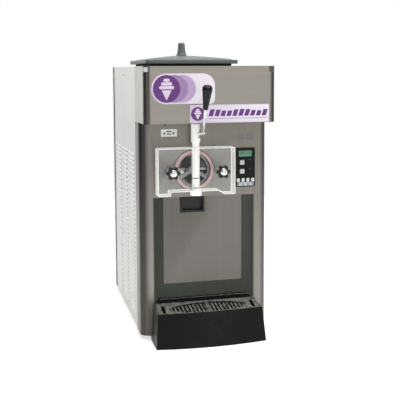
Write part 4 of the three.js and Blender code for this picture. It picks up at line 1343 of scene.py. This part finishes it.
class MakeDoor(Build):
    """The clear dispensing door with machined, frosted edges, and its seal"""

    bl_idname = "soft_serve.door"
    bl_label = "Clear door"

    SEAL = (
        (49, 0.3), (49.6, 0), (51.8, 0), (52.6, 0.7), (53.4, 0), (56.2, 0), (56.9, 0.4), (56.9, 3.6),
        (56.2, 4), (49.6, 4), (49, 3.6), (49, 0.3),
    )
    EDGE_BAND = 0.0032  # how near to the outline a machined face's middle is
    GROOVE = ((48.2, 0), (57.4, 0), (57.4, 9), (48.2, 9), (48.2, 0))

    def make(self, context):
        outline = door_outline()
        made = slab("front_door_plate", outline, "-Y", Vector((0, DOOR_HIGH.y, 0)), DOOR_HIGH.y - DOOR_LOW.y)
        bevel(made, settings("door").bevel, 3, 60)
        settle(made)
        tools = [
            rod("bore", "Z", Vector((SPIGOT.x, SPIGOT.y, DOOR_LOW.z - 0.01)), 11.4, 150),
            rod("outlet", "Y", Vector((SPIGOT.x, SPIGOT.y, DOOR_LOW.z + 0.033)), 9, 40),
        ]
        for node, radius, reach in (
            ("door_stud_left", 5.4, 60), ("door_stud_right", 5.4, 60), ("vent_plug", 4.4, 20),
        ):
            centre = middle(node)
            tools.append(rod("way", "Y", Vector((centre.x, DOOR_LOW.y - 0.005, centre.z)), radius, reach))
        seal = middle("door_gasket")
        tools.append(lathe("groove", self.GROOVE, Vector((seal.x, DOOR_HIGH.y - 0.0043, seal.z)), "Y", 64))
        cut(made, *tools)
        paint(made, "clear_plate", "frosted_edge", "sawn_wall")
        self.frost(made, outline)
        seat(made, "cabinet", "clear_acrylic", "front_door")
        turned("door_seal_ring", "door_gasket", self.SEAL, "seal", "cabinet", "seal_pink", "Y", 96)

    def frost(self, made, outline):
        """Gives the machined finish to the faces that lie along the plate's outline."""
        count = len(outline)
        edges = [(Vector(outline[i]), Vector(outline[(i + 1) % count])) for i in range(count)]
        for face in made.data.polygons:
            centre = Vector((face.center.x, face.center.z))
            near = min(distance_to(centre, a, b) for a, b in edges)
            across = abs(face.normal.y)
            if near < self.EDGE_BAND and across < 0.985:
                face.material_index = 1 if across > 0.05 else 2


def distance_to(point, a, b):
    """How far a point is from the segment a-b."""
    along = b - a
    share = max(0.0, min(1.0, (point - a).dot(along) / max(along.length_squared, 1e-12)))
    return (point - a - along * share).length


class MakeKnobs(Build):
    """The lobed hand knobs with their bright caps, the studs and the vent plug"""

    bl_idname = "soft_serve.knobs"
    bl_label = "Door knobs"

    COLLAR = ((0, 15), (13.6, 15), (12.6, 18.4), (12, 21.2), (5.6, 21.4), (5.6, 17), (0, 17))
    CAP = ((0, 0), (3, 0.12), (6, 0.5), (8.4, 1.2), (9.6, 2.1), (10, 2.9), (10, 3), (0, 3))
    PLUG = (
        (0, 0.2), (1.2, 0.2), (1.6, 0.8), (3.4, 0.8), (3.8, 0.2), (4.6, 0.3), (5, 1), (5, 5.2), (4.7, 5.7),
        (3, 5.7), (3, 12.4), (3.9, 12.6), (4, 13.4), (4, 21.4), (3.4, 22), (0, 22),
    )
    THREAD = 1.25  # pitch of the studs' thread in millimetres

    def make(self, context):
        for side in ("left", "right"):
            self.knob(side)
            self.stud(side)
        bright = ("bright_metal", frame["nodes"]["vent_plug"]["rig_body"], "bright_metal")
        turned("vent_plug_pin", "vent_plug", self.PLUG, *bright, "Y", 28)

    def knob(self, side):
        node = f"door_knob_{side}"
        plastic = settings("plastic")
        centre = middle(node)
        outer = plastic.knob_radius / MM
        lobe = plastic.knob_lobe / plastic.knob_radius / 2

        def petals(angle):
            return 1 - lobe * (1 - math.cos(6 * angle)) ** 1.3 / 2 ** 0.3

        profile = [
            (10.2, 0.6), (outer * 0.62, 0), (outer * 0.86, 0), (outer * 0.94, 0.7), (outer, 2.4),
            (outer, 12.6), (outer * 0.95, 14.4), (outer * 0.86, 15.3), (14.8, 15.4),
        ]
        at = Vector((centre.x, low(node).y, centre.z))
        body = lathe("knob_body", profile, at, "Y", 120, petals)
        mend(body)
        collar = lathe("knob_collar", self.COLLAR, at, "Y", 48)
        made = joined(f"{node}_moulding", paint(body, "black_plastic"), paint(collar, "black_plastic"))
        seat(made, f"{side}_knob", "black_plastic", node)
        at.y = low(f"knob_cap_{side}").y
        cap = lathe(f"knob_cap_{side}_dome", self.CAP, at, "Y", 48)
        seat(paint(cap, "cap_metal"), f"{side}_knob", "bright_metal", f"knob_cap_{side}")

    def stud(self, side):
        node = f"door_stud_{side}"
        span = (high(node).y - low(node).y) / MM
        profile = [(0, 0), (4.2, 0)]
        for i in range(int(span / self.THREAD) - 1):
            profile += [(5, 0.5 + i * self.THREAD), (4.3, 1.1 + i * self.THREAD)]
        profile += [(4.6, span), (0, span)]
        turned(f"{node}_thread", node, profile, "bright_metal", "cabinet", "bright_metal", "Y", 24)


class MakeSpigot(Build):
    """The white spigot: the sliding plunger with its rings, and the nozzle under the door"""

    bl_idname = "soft_serve.spigot"
    bl_label = "Spigot"

    RING = ((9.9, 0.2), (10.4, 0), (11, 0.5), (11.15, 1.3), (11, 2.1), (10.4, 2.6), (9.9, 2.4), (9.9, 0.2))
    NOZZLE = (
        (8, 0), (10, 0), (15.6, 0), (16.3, 0.5), (16.5, 1.4), (16.5, 5.8), (16, 7), (14.6, 8.6), (13.4, 10.6),
        (13, 12.5), (8, 12.5), (8, 0),
    )
    COLUMN = (
        (0, 0), (9.8, 0), (11, 1.2), (11, 4.4), (9.4, 4.4), (9.4, 7.6), (11, 7.6), (11, 32.4), (9.4, 32.4),
        (9.4, 35.6), (11, 35.6), (11, 118), (10.4, 120), (10.4, 134), (12.2, 136.2), (13, 137),
    )

    def make(self, context):
        self.plunger()
        for node in ("plunger_ring_lower", "plunger_ring_upper"):
            turned(f"{node}_seal", node, self.RING, "rubber", "plunger", "seal_black", sides=48)
        white = ("white_plastic", "cabinet", "white_plastic")
        turned("spigot_nozzle_bell", "spigot_nozzle", self.NOZZLE, *white)

    def plunger(self):
        lowest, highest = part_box("spigot_plunger")
        span = (highest.z - lowest.z) / MM
        profile = [*self.COLUMN, (13, span - 1.4), (11.6, span), (0, span)]
        made = lathe("spigot_plunger_column", profile, Vector((SPIGOT.x, SPIGOT.y, lowest.z)), sides=56)
        left, right = LEVER_FINGER.x - 0.0048, SPIGOT.x + 0.018
        slot_middle = Vector(((left + right) / 2, SPIGOT.y - 0.0055, LEVER_FINGER.z))
        cut(made, block("slot", slot_middle, Vector((right - left, 0.029, 0.0135))))
        seat(paint(made, "white_plastic"), "plunger", "white_plastic", "spigot_plunger")


class MakeLever(Build):
    """The draw lever: its bracket and pin, the bent bright rod and the tapered grip"""

    bl_idname = "soft_serve.lever"
    bl_label = "Draw lever"

    REFINED = (
        ("lever_bracket", "bright_metal", "bright_metal", 0.0006, 3),
        ("lever_pin", "bright_metal", "bright_metal", 0.0005, 3),
    )
    HUB = ((3.4, 0), (5.9, 0), (6.5, 0.6), (6.5, 8.4), (5.9, 9), (3.4, 9), (3.4, 0))
    GRIP = (
        (4.4, 0.6), (5.4, 0), (6.3, 0.3), (6.9, 1.4), (7.2, 3), (7.8, 10), (9, 21), (10.3, 31), (11.6, 42),
        (12.8, 51), (13.5, 56.5), (13.7, 59.5), (13.4, 62.8), (12.2, 65.7), (10, 67.8), (6.8, 68.7),
        (3.3, 69), (0, 69),
    )
    TIP_RADIUS = 4.2

    def make(self, context):
        turn = Matrix.Rotation(math.radians(GRIP_TILT), 3, "X")
        self.rod(turn @ Vector((0, 0, 1)))
        made = lathe("lever_grip_moulding", self.GRIP, GRIP_FOOT, turn, 56)
        mend(made)
        seat(paint(made, "grip_plastic"), "lever_arm", "black_plastic", "lever_grip")

    def rod(self, up):
        pin = middle("lever_pin")
        pivot = Vector((LEVER_FINGER.x, pin.y, pin.z))
        knee = pivot + Vector((0, -0.020, 0.006))
        neck = GRIP_FOOT - up * 0.006
        points = [
            pivot, pivot.lerp(knee, 0.6), knee, knee.lerp(neck, 0.2), knee.lerp(neck, 0.6), neck,
            GRIP_FOOT + up * 0.004, GRIP_FOOT + up * 0.034,
        ]
        bar = wire("lever_bar", points, 0.004)
        finger = wire("lever_finger", [pivot, pivot.lerp(LEVER_FINGER, 0.5), LEVER_FINGER], 0.0035)
        ball = ball_profile(self.TIP_RADIUS)
        tip = lathe("lever_tip", ball, LEVER_FINGER - Vector((0, 0, self.TIP_RADIUS * MM)), sides=20)
        hub = lathe("lever_hub", self.HUB, pivot - Vector((0.0045, 0, 0)), "X", 40)
        pieces = [paint(piece, "bright_metal") for piece in (bar, finger, tip, hub)]
        seat(joined("lever_rod", *pieces), "lever_arm", "bright_metal", "lever")


def ball_profile(radius):
    turns = [math.pi * i / 10 for i in range(1, 10)]
    round_ = [(radius * math.sin(turn), radius * (1 - math.cos(turn))) for turn in turns]
    return [(0, 0), *round_, (0, radius * 2)]


GRIP_TILT = 22
GRIP_FOOT = Vector((SPIGOT.x, FRONT_Y - 0.144, 0.670))
LEVER_FINGER = Vector((middle("lever_pin").x, FRONT_Y - 0.0319, 0.5903))


# ---- controls -----------------------------------------------------------------------------


class MakeControls(Build):
    """The control panel: bezel, display with figures, two square buttons, four keys and two lamps"""

    bl_idname = "soft_serve.controls"
    bl_label = "Controls"

    REFINED = (("control_bezel", "bezel_plastic", "bezel_plastic", 0.0007, 3),)
    FIGURES = (0b1110111, 0b0111111, 0b1011011, 0b1101111)
    LAMP = ((0, 0.3), (1.2, 0.45), (1.9, 0.9), (2.1, 1.4), (2.1, 2), (0, 2))

    def make(self, context):
        self.display()
        for place in ("upper", "lower"):
            self.button(f"button_{place}", f"{place}_button")
        for number, word in enumerate(("one", "two", "three", "four"), 1):
            self.key(f"key_{number}", f"key_{word}")
        self.strip()
        self.lamps()

    def display(self):
        centre, size, back, front = faces("display_window")
        parts = [plate(rounded(size.x, size.z, 0.0012, 4), back, size.y, "display", 0.0003)]
        for place, lit in enumerate(self.FIGURES):
            x = centre.x + (place - 1.5) * 0.0068 + (0.0016 if place > 1 else -0.0016)
            parts += segments(Vector((x, front.y + 0.00002, centre.z)), lit)
        seat(joined("display_window_lit", *parts), "cabinet", "display_green", "display_window")

    @staticmethod
    def button(node, body):
        _, size, back, front = faces(node)
        wide = size.x
        made = joined(
            f"{node}_cap",
            plate(rounded(wide, wide, 0.0018, 5), back, size.y, "key_plastic", 0.0008, 3),
            plate(rounded(wide * 0.62, wide * 0.62, 0.001, 4), front + INTO * 0.1, 0.00022, "label"),
            plate(rounded(wide * 0.3, wide * 0.3, wide * 0.149, 8), front - INTO * 0.1, 0.00012, "label_ink"),
        )
        seat(made, body, "grey_plastic", node)

    @staticmethod
    def key(node, body):
        _, size, back, front = faces(node)
        made = joined(
            f"{node}_cap",
            plate(rounded(size.x, size.z, 0.0012, 4), back, size.y, "key_white", 0.0006, 3),
            plate(rounded(size.x * 0.4, size.z * 0.16, 0.0004, 3), front + INTO * 0.02, 0.0001, "label_ink"),
        )
        seat(made, body, "grey_plastic", node)

    @staticmethod
    def strip():
        """The pale strip of pictograms under the keys."""
        _, size, _, front = faces("control_bezel")
        base = Vector((front.x, front.y, low("control_bezel").z))
        film = rounded(size.x * 0.86, 0.0105, 0.0008, 3)
        parts = [plate(film, base + Vector((0, 0.0001, 0.0083)), 0.0003, "strip_film")]
        for i in range(4):
            at = Vector((middle(f"key_{i + 1}").x, base.y - 0.0002, base.z))
            for shape, rise in (((0.0066, 0.0012, 0.0004, 3), 0.0105), ((0.0036, 0.0036, 0.0017, 5), 0.0065)):
                parts.append(plate(rounded(*shape), at + Vector((0, 0, rise)), 0.0001, "label_ink"))
        seat(joined("control_strip", *parts), "cabinet", "bezel_plastic")

    def lamps(self):
        parts = []
        for node in ("button_upper", "button_lower"):
            x, z = middle("control_bezel").x + 0.0125, middle(node).z + 0.008
            at = Vector((x, low("control_bezel").y - 0.0014, z))
            parts.append(paint(lathe("lamp", self.LAMP, at, "Y", 20), "lamp"))
        seat(joined("indicator_lamps", *parts), "cabinet", "display_green")


INTO = Vector((0, MM, 0))  # one millimetre into the machine


def faces(node):
    """A node's middle and size, and the middles of its back and front faces."""
    lowest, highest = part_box(node)
    centre = middle(node)
    back, front = (Vector((centre.x, y, centre.z)) for y in (highest.y, lowest.y))
    return centre, highest - lowest, back, front


def segments(centre, lit):
    """The bars of one seven-bar figure, each a thin plate; lit is a bit for each bar."""
    half_w, half_h, bar = 0.0020, 0.0037, 0.0009
    spots = [
        (0, half_h, 1), (half_w, half_h / 2, 0), (half_w, -half_h / 2, 0), (0, -half_h, 1),
        (-half_w, -half_h / 2, 0), (-half_w, half_h / 2, 0), (0, 0, 1),
    ]
    made = []
    for bit, (dx, dz, flat) in enumerate(spots):
        if lit >> bit & 1:
            size = (half_w * 1.7, bar) if flat else (bar, half_h * 0.8)
            made.append(plate(rounded(*size, 0.0003, 2), centre + Vector((dx, 0, dz)), 0.0001, "display_ink"))
    return made


# ---- signs and labels ---------------------------------------------------------------------


def soft_serve_icon(size, at, depth):
    """A disc of ink with a pale cone and three rounded turns of ice cream on it."""
    half = size / 2
    above = at - Vector((0, depth, 0))
    cone = soften([(-half * 0.36, -half * 0.1, 1), (0, -half * 0.84, 1.5), (half * 0.36, -half * 0.1, 1)], 3)
    pale = [cone]
    for width, height in ((1.1, 0.09), (0.82, 0.36), (0.46, 0.62)):
        pale.append(rounded(size * width * 0.5, size * 0.115, size * 0.056, 6, (0, half * height)))
    return [disc(half, at, depth, "ink"), *[plate(shape, above, 0.00006, "sign") for shape in pale]]


def disc(radius, at, depth, finish):
    profile = [(radius / MM, 0), (radius / MM, -depth / MM), (0, -depth / MM), (0, 0)]
    return paint(lathe("disc", profile, at, "Y", 72), finish)


class MakeSigns(Build):
    """The long rounded sign, the wide sign, and the small labels"""

    bl_idname = "soft_serve.signs"
    bl_label = "Signs and labels"

    # widths and heights of the two signs, the small label and the rating plate
    LONG = (0.178, 0.083)
    WIDE = (0.227, 0.049)
    LABEL = (0.046, 0.021)
    RATING = (0.061, 0.025)
    BARS = 10
    BAR = (0.0128, 0.019, 0.006)  # a bar's width, height and lean
    BAR_PITCH = 0.017

    def make(self, context):
        self.long_sign(settings("signs").thickness)
        self.wide_sign(settings("signs").thickness)
        self.label()
        self.rating()

    def long_sign(self, thick):
        """A pill with discs that fade away behind its icon."""
        width, height = self.LONG
        right, up = width / 2, height / 2
        centre = spot("header_cover", 0.2925, 0, 0.608)
        outline = soften_round([(-right, -up, 41), (right, -up, 14), (right, up, 34), (-right, up, 41)])
        parts = [plate(outline, centre, thick, "sign", 0.0002)]
        first = centre + Vector((0.0425 - right, 0.00002 - thick, 0))
        for shift, ink, layer in ((66, "ink_faint", 1), (44, "ink_pale", 2), (22, "ink_light", 3)):
            parts.append(disc(0.0375, first + Vector((shift * MM, 0, 0)), 0.00006 * layer, ink))
        parts += soft_serve_icon(0.075, first, 0.00006 * 4)
        seat(joined("long_sign", *parts), "cabinet", "white_plastic")

    def wide_sign(self, thick):
        """An icon, a row of leaning bars of uneven height, and a rule below them."""
        width, height = self.WIDE
        centre = spot("header_cover", 0.642, 0, 0.168)
        parts = [plate(rounded(width, height, 0.0015, 3), centre, thick, "wide_sign", 0.0002)]
        first = centre + Vector((-width / 2, 0.00002 - thick, 0))
        parts += soft_serve_icon(0.038, first + Vector((0.022, 0, 0)), 0.0001)
        wide, tall, lean = self.BAR
        for i in range(self.BARS):
            rise = 0.7 + 0.3 * abs(math.cos(i * 0.62))
            over, up = lean * rise, tall * rise
            bar = soften([(0, 0, 1), (wide, 0, 1), (wide + over, up, 1), (over, up, 1)], 2)
            parts.append(plate(bar, first + Vector((0.052 + i * self.BAR_PITCH, 0, -0.007)), 0.0001, "ink"))
        rule = rounded(0.168, 0.0016, 0.0007, 3)
        parts.append(plate(rule, first + Vector((0.136, 0, -0.0135)), 0.0001, "ink_light"))
        seat(joined("wide_sign", *parts), "cabinet", "white_plastic")

    def label(self):
        at = Vector((-0.102, FRONT_Y, 0.598))
        parts = [plate(rounded(*self.LABEL, 0.001, 3), at, 0.0003, "label")]
        for dx, dz, wide, tall in (
            (0, 0.004, 0.016, 0.0035), (-0.0135, -0.001, 0.006, 0.006), (0.0135, -0.001, 0.006, 0.006),
            (0, -0.0035, 0.014, 0.003),
        ):
            mark = rounded(wide, tall, tall * 0.4, 3)
            parts.append(plate(mark, at + Vector((dx, -0.00028, dz)), 0.0001, "label_ink"))
        seat(joined("small_label", *parts), "cabinet", "white_plastic")

    def rating(self):
        at = Vector((0.1235, FRONT_Y, 0.5825))
        parts = [plate(rounded(*self.RATING, 0.0015, 3), at, 0.0002, "plate_film")]
        for row in range(4):
            for column in range(2):
                line = rounded(0.022 - 0.004 * ((row + column) % 2), 0.0016, 0.0006, 2)
                place = at + Vector((-0.013 + column * 0.027, -0.00018, 0.0075 - row * 0.005))
                parts.append(plate(line, place, 0.0001, "plate_ink"))
        seat(joined("rating_plate", *parts), "cabinet", "cabinet_steel")


def soften_round(corners):
    """Rounds each right-angled corner (x, y, radius in mm) with a true quarter circle."""
    points = []
    steps = 14
    for (x, y, radius), start in zip(corners, (180, 270, 0, 90)):
        r = radius * MM
        cx = x + (r if x < 0 else -r)
        cy = y + (r if y < 0 else -r)
        for i in range(steps + 1):
            angle = math.radians(start + 90 * i / steps)
            points.append((cx + r * math.cos(angle), cy + r * math.sin(angle)))
    return points


# ---- drip tray and drawer -----------------------------------------------------------------


class MakeTrays(Build):
    """The drip tray, its lift-out grid with a ribbed oval dish, and the small drip drawer"""

    bl_idname = "soft_serve.trays"
    bl_label = "Drip tray and drawer"

    REFINED = (
        ("drip_tray", "tray_plastic", "black_plastic", 0.0013, 3),
        ("drip_drawer", "black_plastic", "black_plastic", 0.0009, 3),
    )
    FRONT_THICKNESS = 0.0047
    STRAIGHT_FRONT = -0.075  # where the slope starts, from the cabinet's front
    OVAL = (0.75, 0.81)  # the oval's half sizes as shares of the grid's
    OVAL_BEHIND = -0.044  # the oval's middle from the cabinet's front
    HANDLE_SLOT = (0.878, 0.008, 0.040)  # how far out it is as a share, its width and its length
    RIBS = 20
    RIB = (0.0064, 0.0112)  # a rib's width and the pitch
    BEAD = ((-1.6, -0.4), (-1.2, 0), (0, 0.3), (1.2, 0), (1.6, -0.4), (0, -1.6))  # out and up, in millimetres

    def make(self, context):
        lowest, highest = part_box("drip_tray_insert")
        centre, half = (lowest + highest) / 2, (highest - lowest) / 2
        oval = (half.x * self.OVAL[0], half.y * self.OVAL[1])
        front_top = lowest.z + self.FRONT_THICKNESS
        at = Vector((centre.x, FRONT_Y + self.OVAL_BEHIND, lowest.z))
        blank = merged_copy("drip_tray_insert", "blank")
        made = slab("drip_grid", outer_outline(blank), "Z", Vector((0, 0, lowest.z)), self.FRONT_THICKNESS)
        bpy.data.objects.remove(blank)
        outline = [(at.x + oval[0] * x, at.y + oval[1] * y) for x, y in circle(96)]
        tools = [slab("oval", outline, "Z", Vector((0, 0, lowest.z - 0.01)), 0.03)]
        out, wide, long = self.HANDLE_SLOT
        for side, _ in SIDES:
            slot_at = Vector((at.x + side * half.x * out, at.y, centre.z - 0.02))
            tools.append(slab("slot", rounded(wide, long, 0.0039, 6), "Z", slot_at, 0.04))
        cut(made, *tools)
        bevel(made, 0.0009, 3, 50)
        settle(made)
        keel = slab(
            "keel", rounded(0.011, oval[1] * 1.99, 0.004, 6), "Z", at + Vector((0, 0, 0.0004)),
            self.FRONT_THICKNESS - 0.0008, 0.0012, 3,
        )
        parts = [paint(piece, "tray_plastic") for piece in (
            made, self.ribs(at.y, oval, lowest.z, front_top), self.rim(at, oval, front_top), keel)]
        whole = joined("drip_grid_ribbed", *parts)
        self.slope(whole, lowest, highest)
        seat(whole, "tray_grid", "black_plastic", "drip_tray_insert")

    def slope(self, made, lowest, highest):
        """Raises the rear of the grid: its top follows a plane from the front edge up to the rear edge."""
        start = FRONT_Y + self.STRAIGHT_FRONT
        climb = (highest.z - lowest.z - self.FRONT_THICKNESS) / (highest.y - start)
        for vert in made.data.vertices:
            share = (vert.co.z - lowest.z) / self.FRONT_THICKNESS
            vert.co.z += share * climb * (vert.co.y - start)

    def ribs(self, y, oval, base, top):
        """Bars across the oval, a little below its rim, with a slit between each two."""
        wide, pitch = self.RIB
        bar = slab("rib", rounded(wide, 2.0, 0.0031, 4), "Z", Vector((0, 0, 0.0002)), top - base - 0.0017)
        return grow(
            "ribs", oval_pattern(), "tray_plastic", Item=bar, Count=self.RIBS, Pitch=pitch,
            Half_length=oval[0], Half_width=oval[1] * 1.01, Middle_Y=y, Height=base,
        )

    def rim(self, at, oval, top):
        """A raised bead round the oval."""
        bm = bmesh.new()
        rings = []
        for x, y in circle(96):
            out = Vector((x / oval[0], y / oval[1], 0)).normalized()
            point = Vector((at.x + oval[0] * x, at.y + oval[1] * y, top - 0.0003))
            rings.append([bm.verts.new(point + out * a * MM + Vector((0, 0, b * MM))) for a, b in self.BEAD])
        for here, there in zip(rings, rings[1:] + rings[:1]):
            band(bm, here, there)
        return solid("rim", bm)


def outer_outline(plate):
    """The outline of a flat plate's top face as points in x and y, anticlockwise, without its holes."""
    lowest = min(v.co.z for v in plate.data.vertices)
    points = {(round(v.co.x, 6), round(v.co.y, 6)) for v in plate.data.vertices if v.co.z < lowest + 1e-5}
    hull = []
    ordered = sorted(points)
    for sweep in (ordered, ordered[::-1]):
        chain = []
        for p in sweep:
            while len(chain) > 1 and turn_of(chain[-2], chain[-1], p) <= 0:
                chain.pop()
            chain.append(p)
        hull += chain[:-1]
    return hull


def turn_of(a, b, c):
    return (b[0] - a[0]) * (c[1] - a[1]) - (b[1] - a[1]) * (c[0] - a[0])


# ---- stage --------------------------------------------------------------------------------


LENS = 70.27
LENS_SHIFT = (-0.01025, -0.125)
CAMERA_TURN = (0.242, 0.1021, -0.0039)  # yaw, pitch and roll in radians
CAMERA_PLACE = (-0.5339, -2.36065, 0.77497)
# (name, setting with its power, size, place, what it points at)
LIGHTS = (
    ("side_light", "key", (1.6, 2.0), (-2.2, 2.2, 1.5), (0, 0, 0.4)),
    ("low_light", "low", (1.0, 1.2), (-2.0, -1.9, 0.7), (0, 0, 0.5)),
    ("top_light", "fill", (2.2, 1.6), (0.3, -1.1, 3.0), (0, 0, 0.4)),
)


class MakeStage(Build):
    """The pale floor, the soft lights and the camera"""

    bl_idname = "soft_serve.stage"
    bl_label = "Stage"

    def make(self, context):
        context.scene.view_settings.view_transform = "Standard"
        self.floor()
        self.sky()
        self.lights()
        self.camera()

    @staticmethod
    def floor():
        bm = bmesh.new()
        bmesh.ops.create_circle(bm, cap_ends=True, cap_tris=True, segments=64, radius=2.4)
        made = from_bmesh("studio_floor", bm)
        made.data.materials.append(studio_floor("studio_floor", tuple(settings("stage").floor)))
        made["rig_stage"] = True

    @staticmethod
    def sky():
        """A studio for the steel to mirror: a pale card in front, a bright backdrop, dark sides."""
        stage = settings("stage")
        world = bpy.data.worlds.new("studio_sky")
        bpy.context.scene.world = world
        world.use_nodes = True
        world.node_tree.nodes.clear()
        sky = Graph(world.node_tree)
        way = sky.node("ShaderNodeTexCoord", output="Generated")
        x, y, z = sky.parts(way)
        card = sky.ramp(x * 0.4 - y * 0.917, 0.7, 0.95)
        backdrop = sky.ramp(y, 0.1, 0.85)
        right = sky.ramp(x, 0.6, 0.97)
        overhead = sky.ramp(z, 0.7, 0.95)
        level = sky.ramp(z, -0.1, 0.12)
        amount = 0.08 + card * (0.75 + level * 0.22) + backdrop * 1.0 + right * 0.3 + overhead * 0.7
        tone = sky.blend(backdrop, (1.0, 0.985, 0.96), (0.97, 0.985, 1.0))
        seen = sky.node("ShaderNodeLightPath", output="Is Camera Ray")
        lit = sky.node("ShaderNodeBackground", inputs={"Color": tone, "Strength": amount * stage.sky})
        white = sky.node("ShaderNodeBackground", inputs={"Color": (1, 1, 1), "Strength": 1.0})
        mixed = sky.node("ShaderNodeMixShader", inputs={0: seen, 1: lit, 2: white})
        sky.node("ShaderNodeOutputWorld", inputs={"Surface": mixed})

    @staticmethod
    def lights():
        for name, power, size, place, aim in LIGHTS:
            light = bpy.data.lights.new(name, "AREA")
            light.shape = "RECTANGLE"
            light.size, light.size_y = size
            light.energy = getattr(settings("stage"), power)
            lamp = link(name, light)
            lamp.location = place
            lamp.rotation_euler = (Vector(aim) - Vector(place)).to_track_quat("-Z", "Y").to_euler()

    @staticmethod
    def camera():
        lens = bpy.data.cameras.new("camera")
        lens.lens = LENS
        lens.sensor_width = 36
        lens.shift_x, lens.shift_y = LENS_SHIFT
        lens.clip_start = 0.05
        lens.clip_end = 60
        camera = link("camera", lens)
        yaw, pitch, roll = CAMERA_TURN
        ahead = Vector((math.sin(yaw) * math.cos(pitch), math.cos(yaw) * math.cos(pitch), -math.sin(pitch)))
        right = Vector((math.cos(yaw), -math.sin(yaw), 0))
        up = right.cross(ahead)
        across = right * math.cos(roll) + up * math.sin(roll)
        above = up * math.cos(roll) - right * math.sin(roll)
        turn = Matrix((across, above, -ahead)).transposed().to_4x4()
        camera.matrix_world = Matrix.Translation(CAMERA_PLACE) @ turn
        bpy.context.scene.camera = camera


# ---- add-on -------------------------------------------------------------------------------

PIECES = (
    MakeSheets, MakeLouvres, MakeScrews, MakeFeet, MakeHopper, MakeLid, MakeFreezer, MakeDrive, MakeCooling,
    MakeDoor, MakeKnobs, MakeSpigot, MakeLever, MakeControls, MakeSigns, MakeTrays,
)


class SoftServePanel(bpy.types.Panel):
    """Buttons for each piece of the machine, and the values behind them"""

    bl_idname = "VIEW3D_PT_soft_serve"
    bl_label = "Ice Cream Maker"
    bl_space_type = "VIEW_3D"
    bl_region_type = "UI"
    bl_category = "Ice Cream Maker"

    def draw(self, context):
        for group, kind in SETTINGS.items():
            box = self.layout.box()
            box.label(text=group.title())
            for name in kind.__annotations__:
                box.prop(settings(group), name)
        for operator in (*PIECES, MakeStage):
            self.layout.operator(operator.bl_idname)


def register():
    for kind in (*SETTINGS.values(), *PIECES, MakeStage, SoftServePanel):
        bpy.utils.register_class(kind)
    for group, kind in SETTINGS.items():
        setattr(bpy.types.Scene, f"soft_serve_{group}", bpy.props.PointerProperty(type=kind))


def unregister():
    for group in SETTINGS:
        delattr(bpy.types.Scene, f"soft_serve_{group}")
    for kind in (SoftServePanel, MakeStage, *PIECES[::-1], *SETTINGS.values()):
        bpy.utils.unregister_class(kind)


def main():
    register()
    make_finishes()
    for operator in (*PIECES, MakeStage):
        group, name = operator.bl_idname.split(".")
        getattr(getattr(bpy.ops, group), name)()
    sizes = {"cad": CAD_BOX, "visual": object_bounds()}
    {name: [list(corner) for corner in box] for name, box in sizes.items()}


if __name__ == "__main__":
    main()
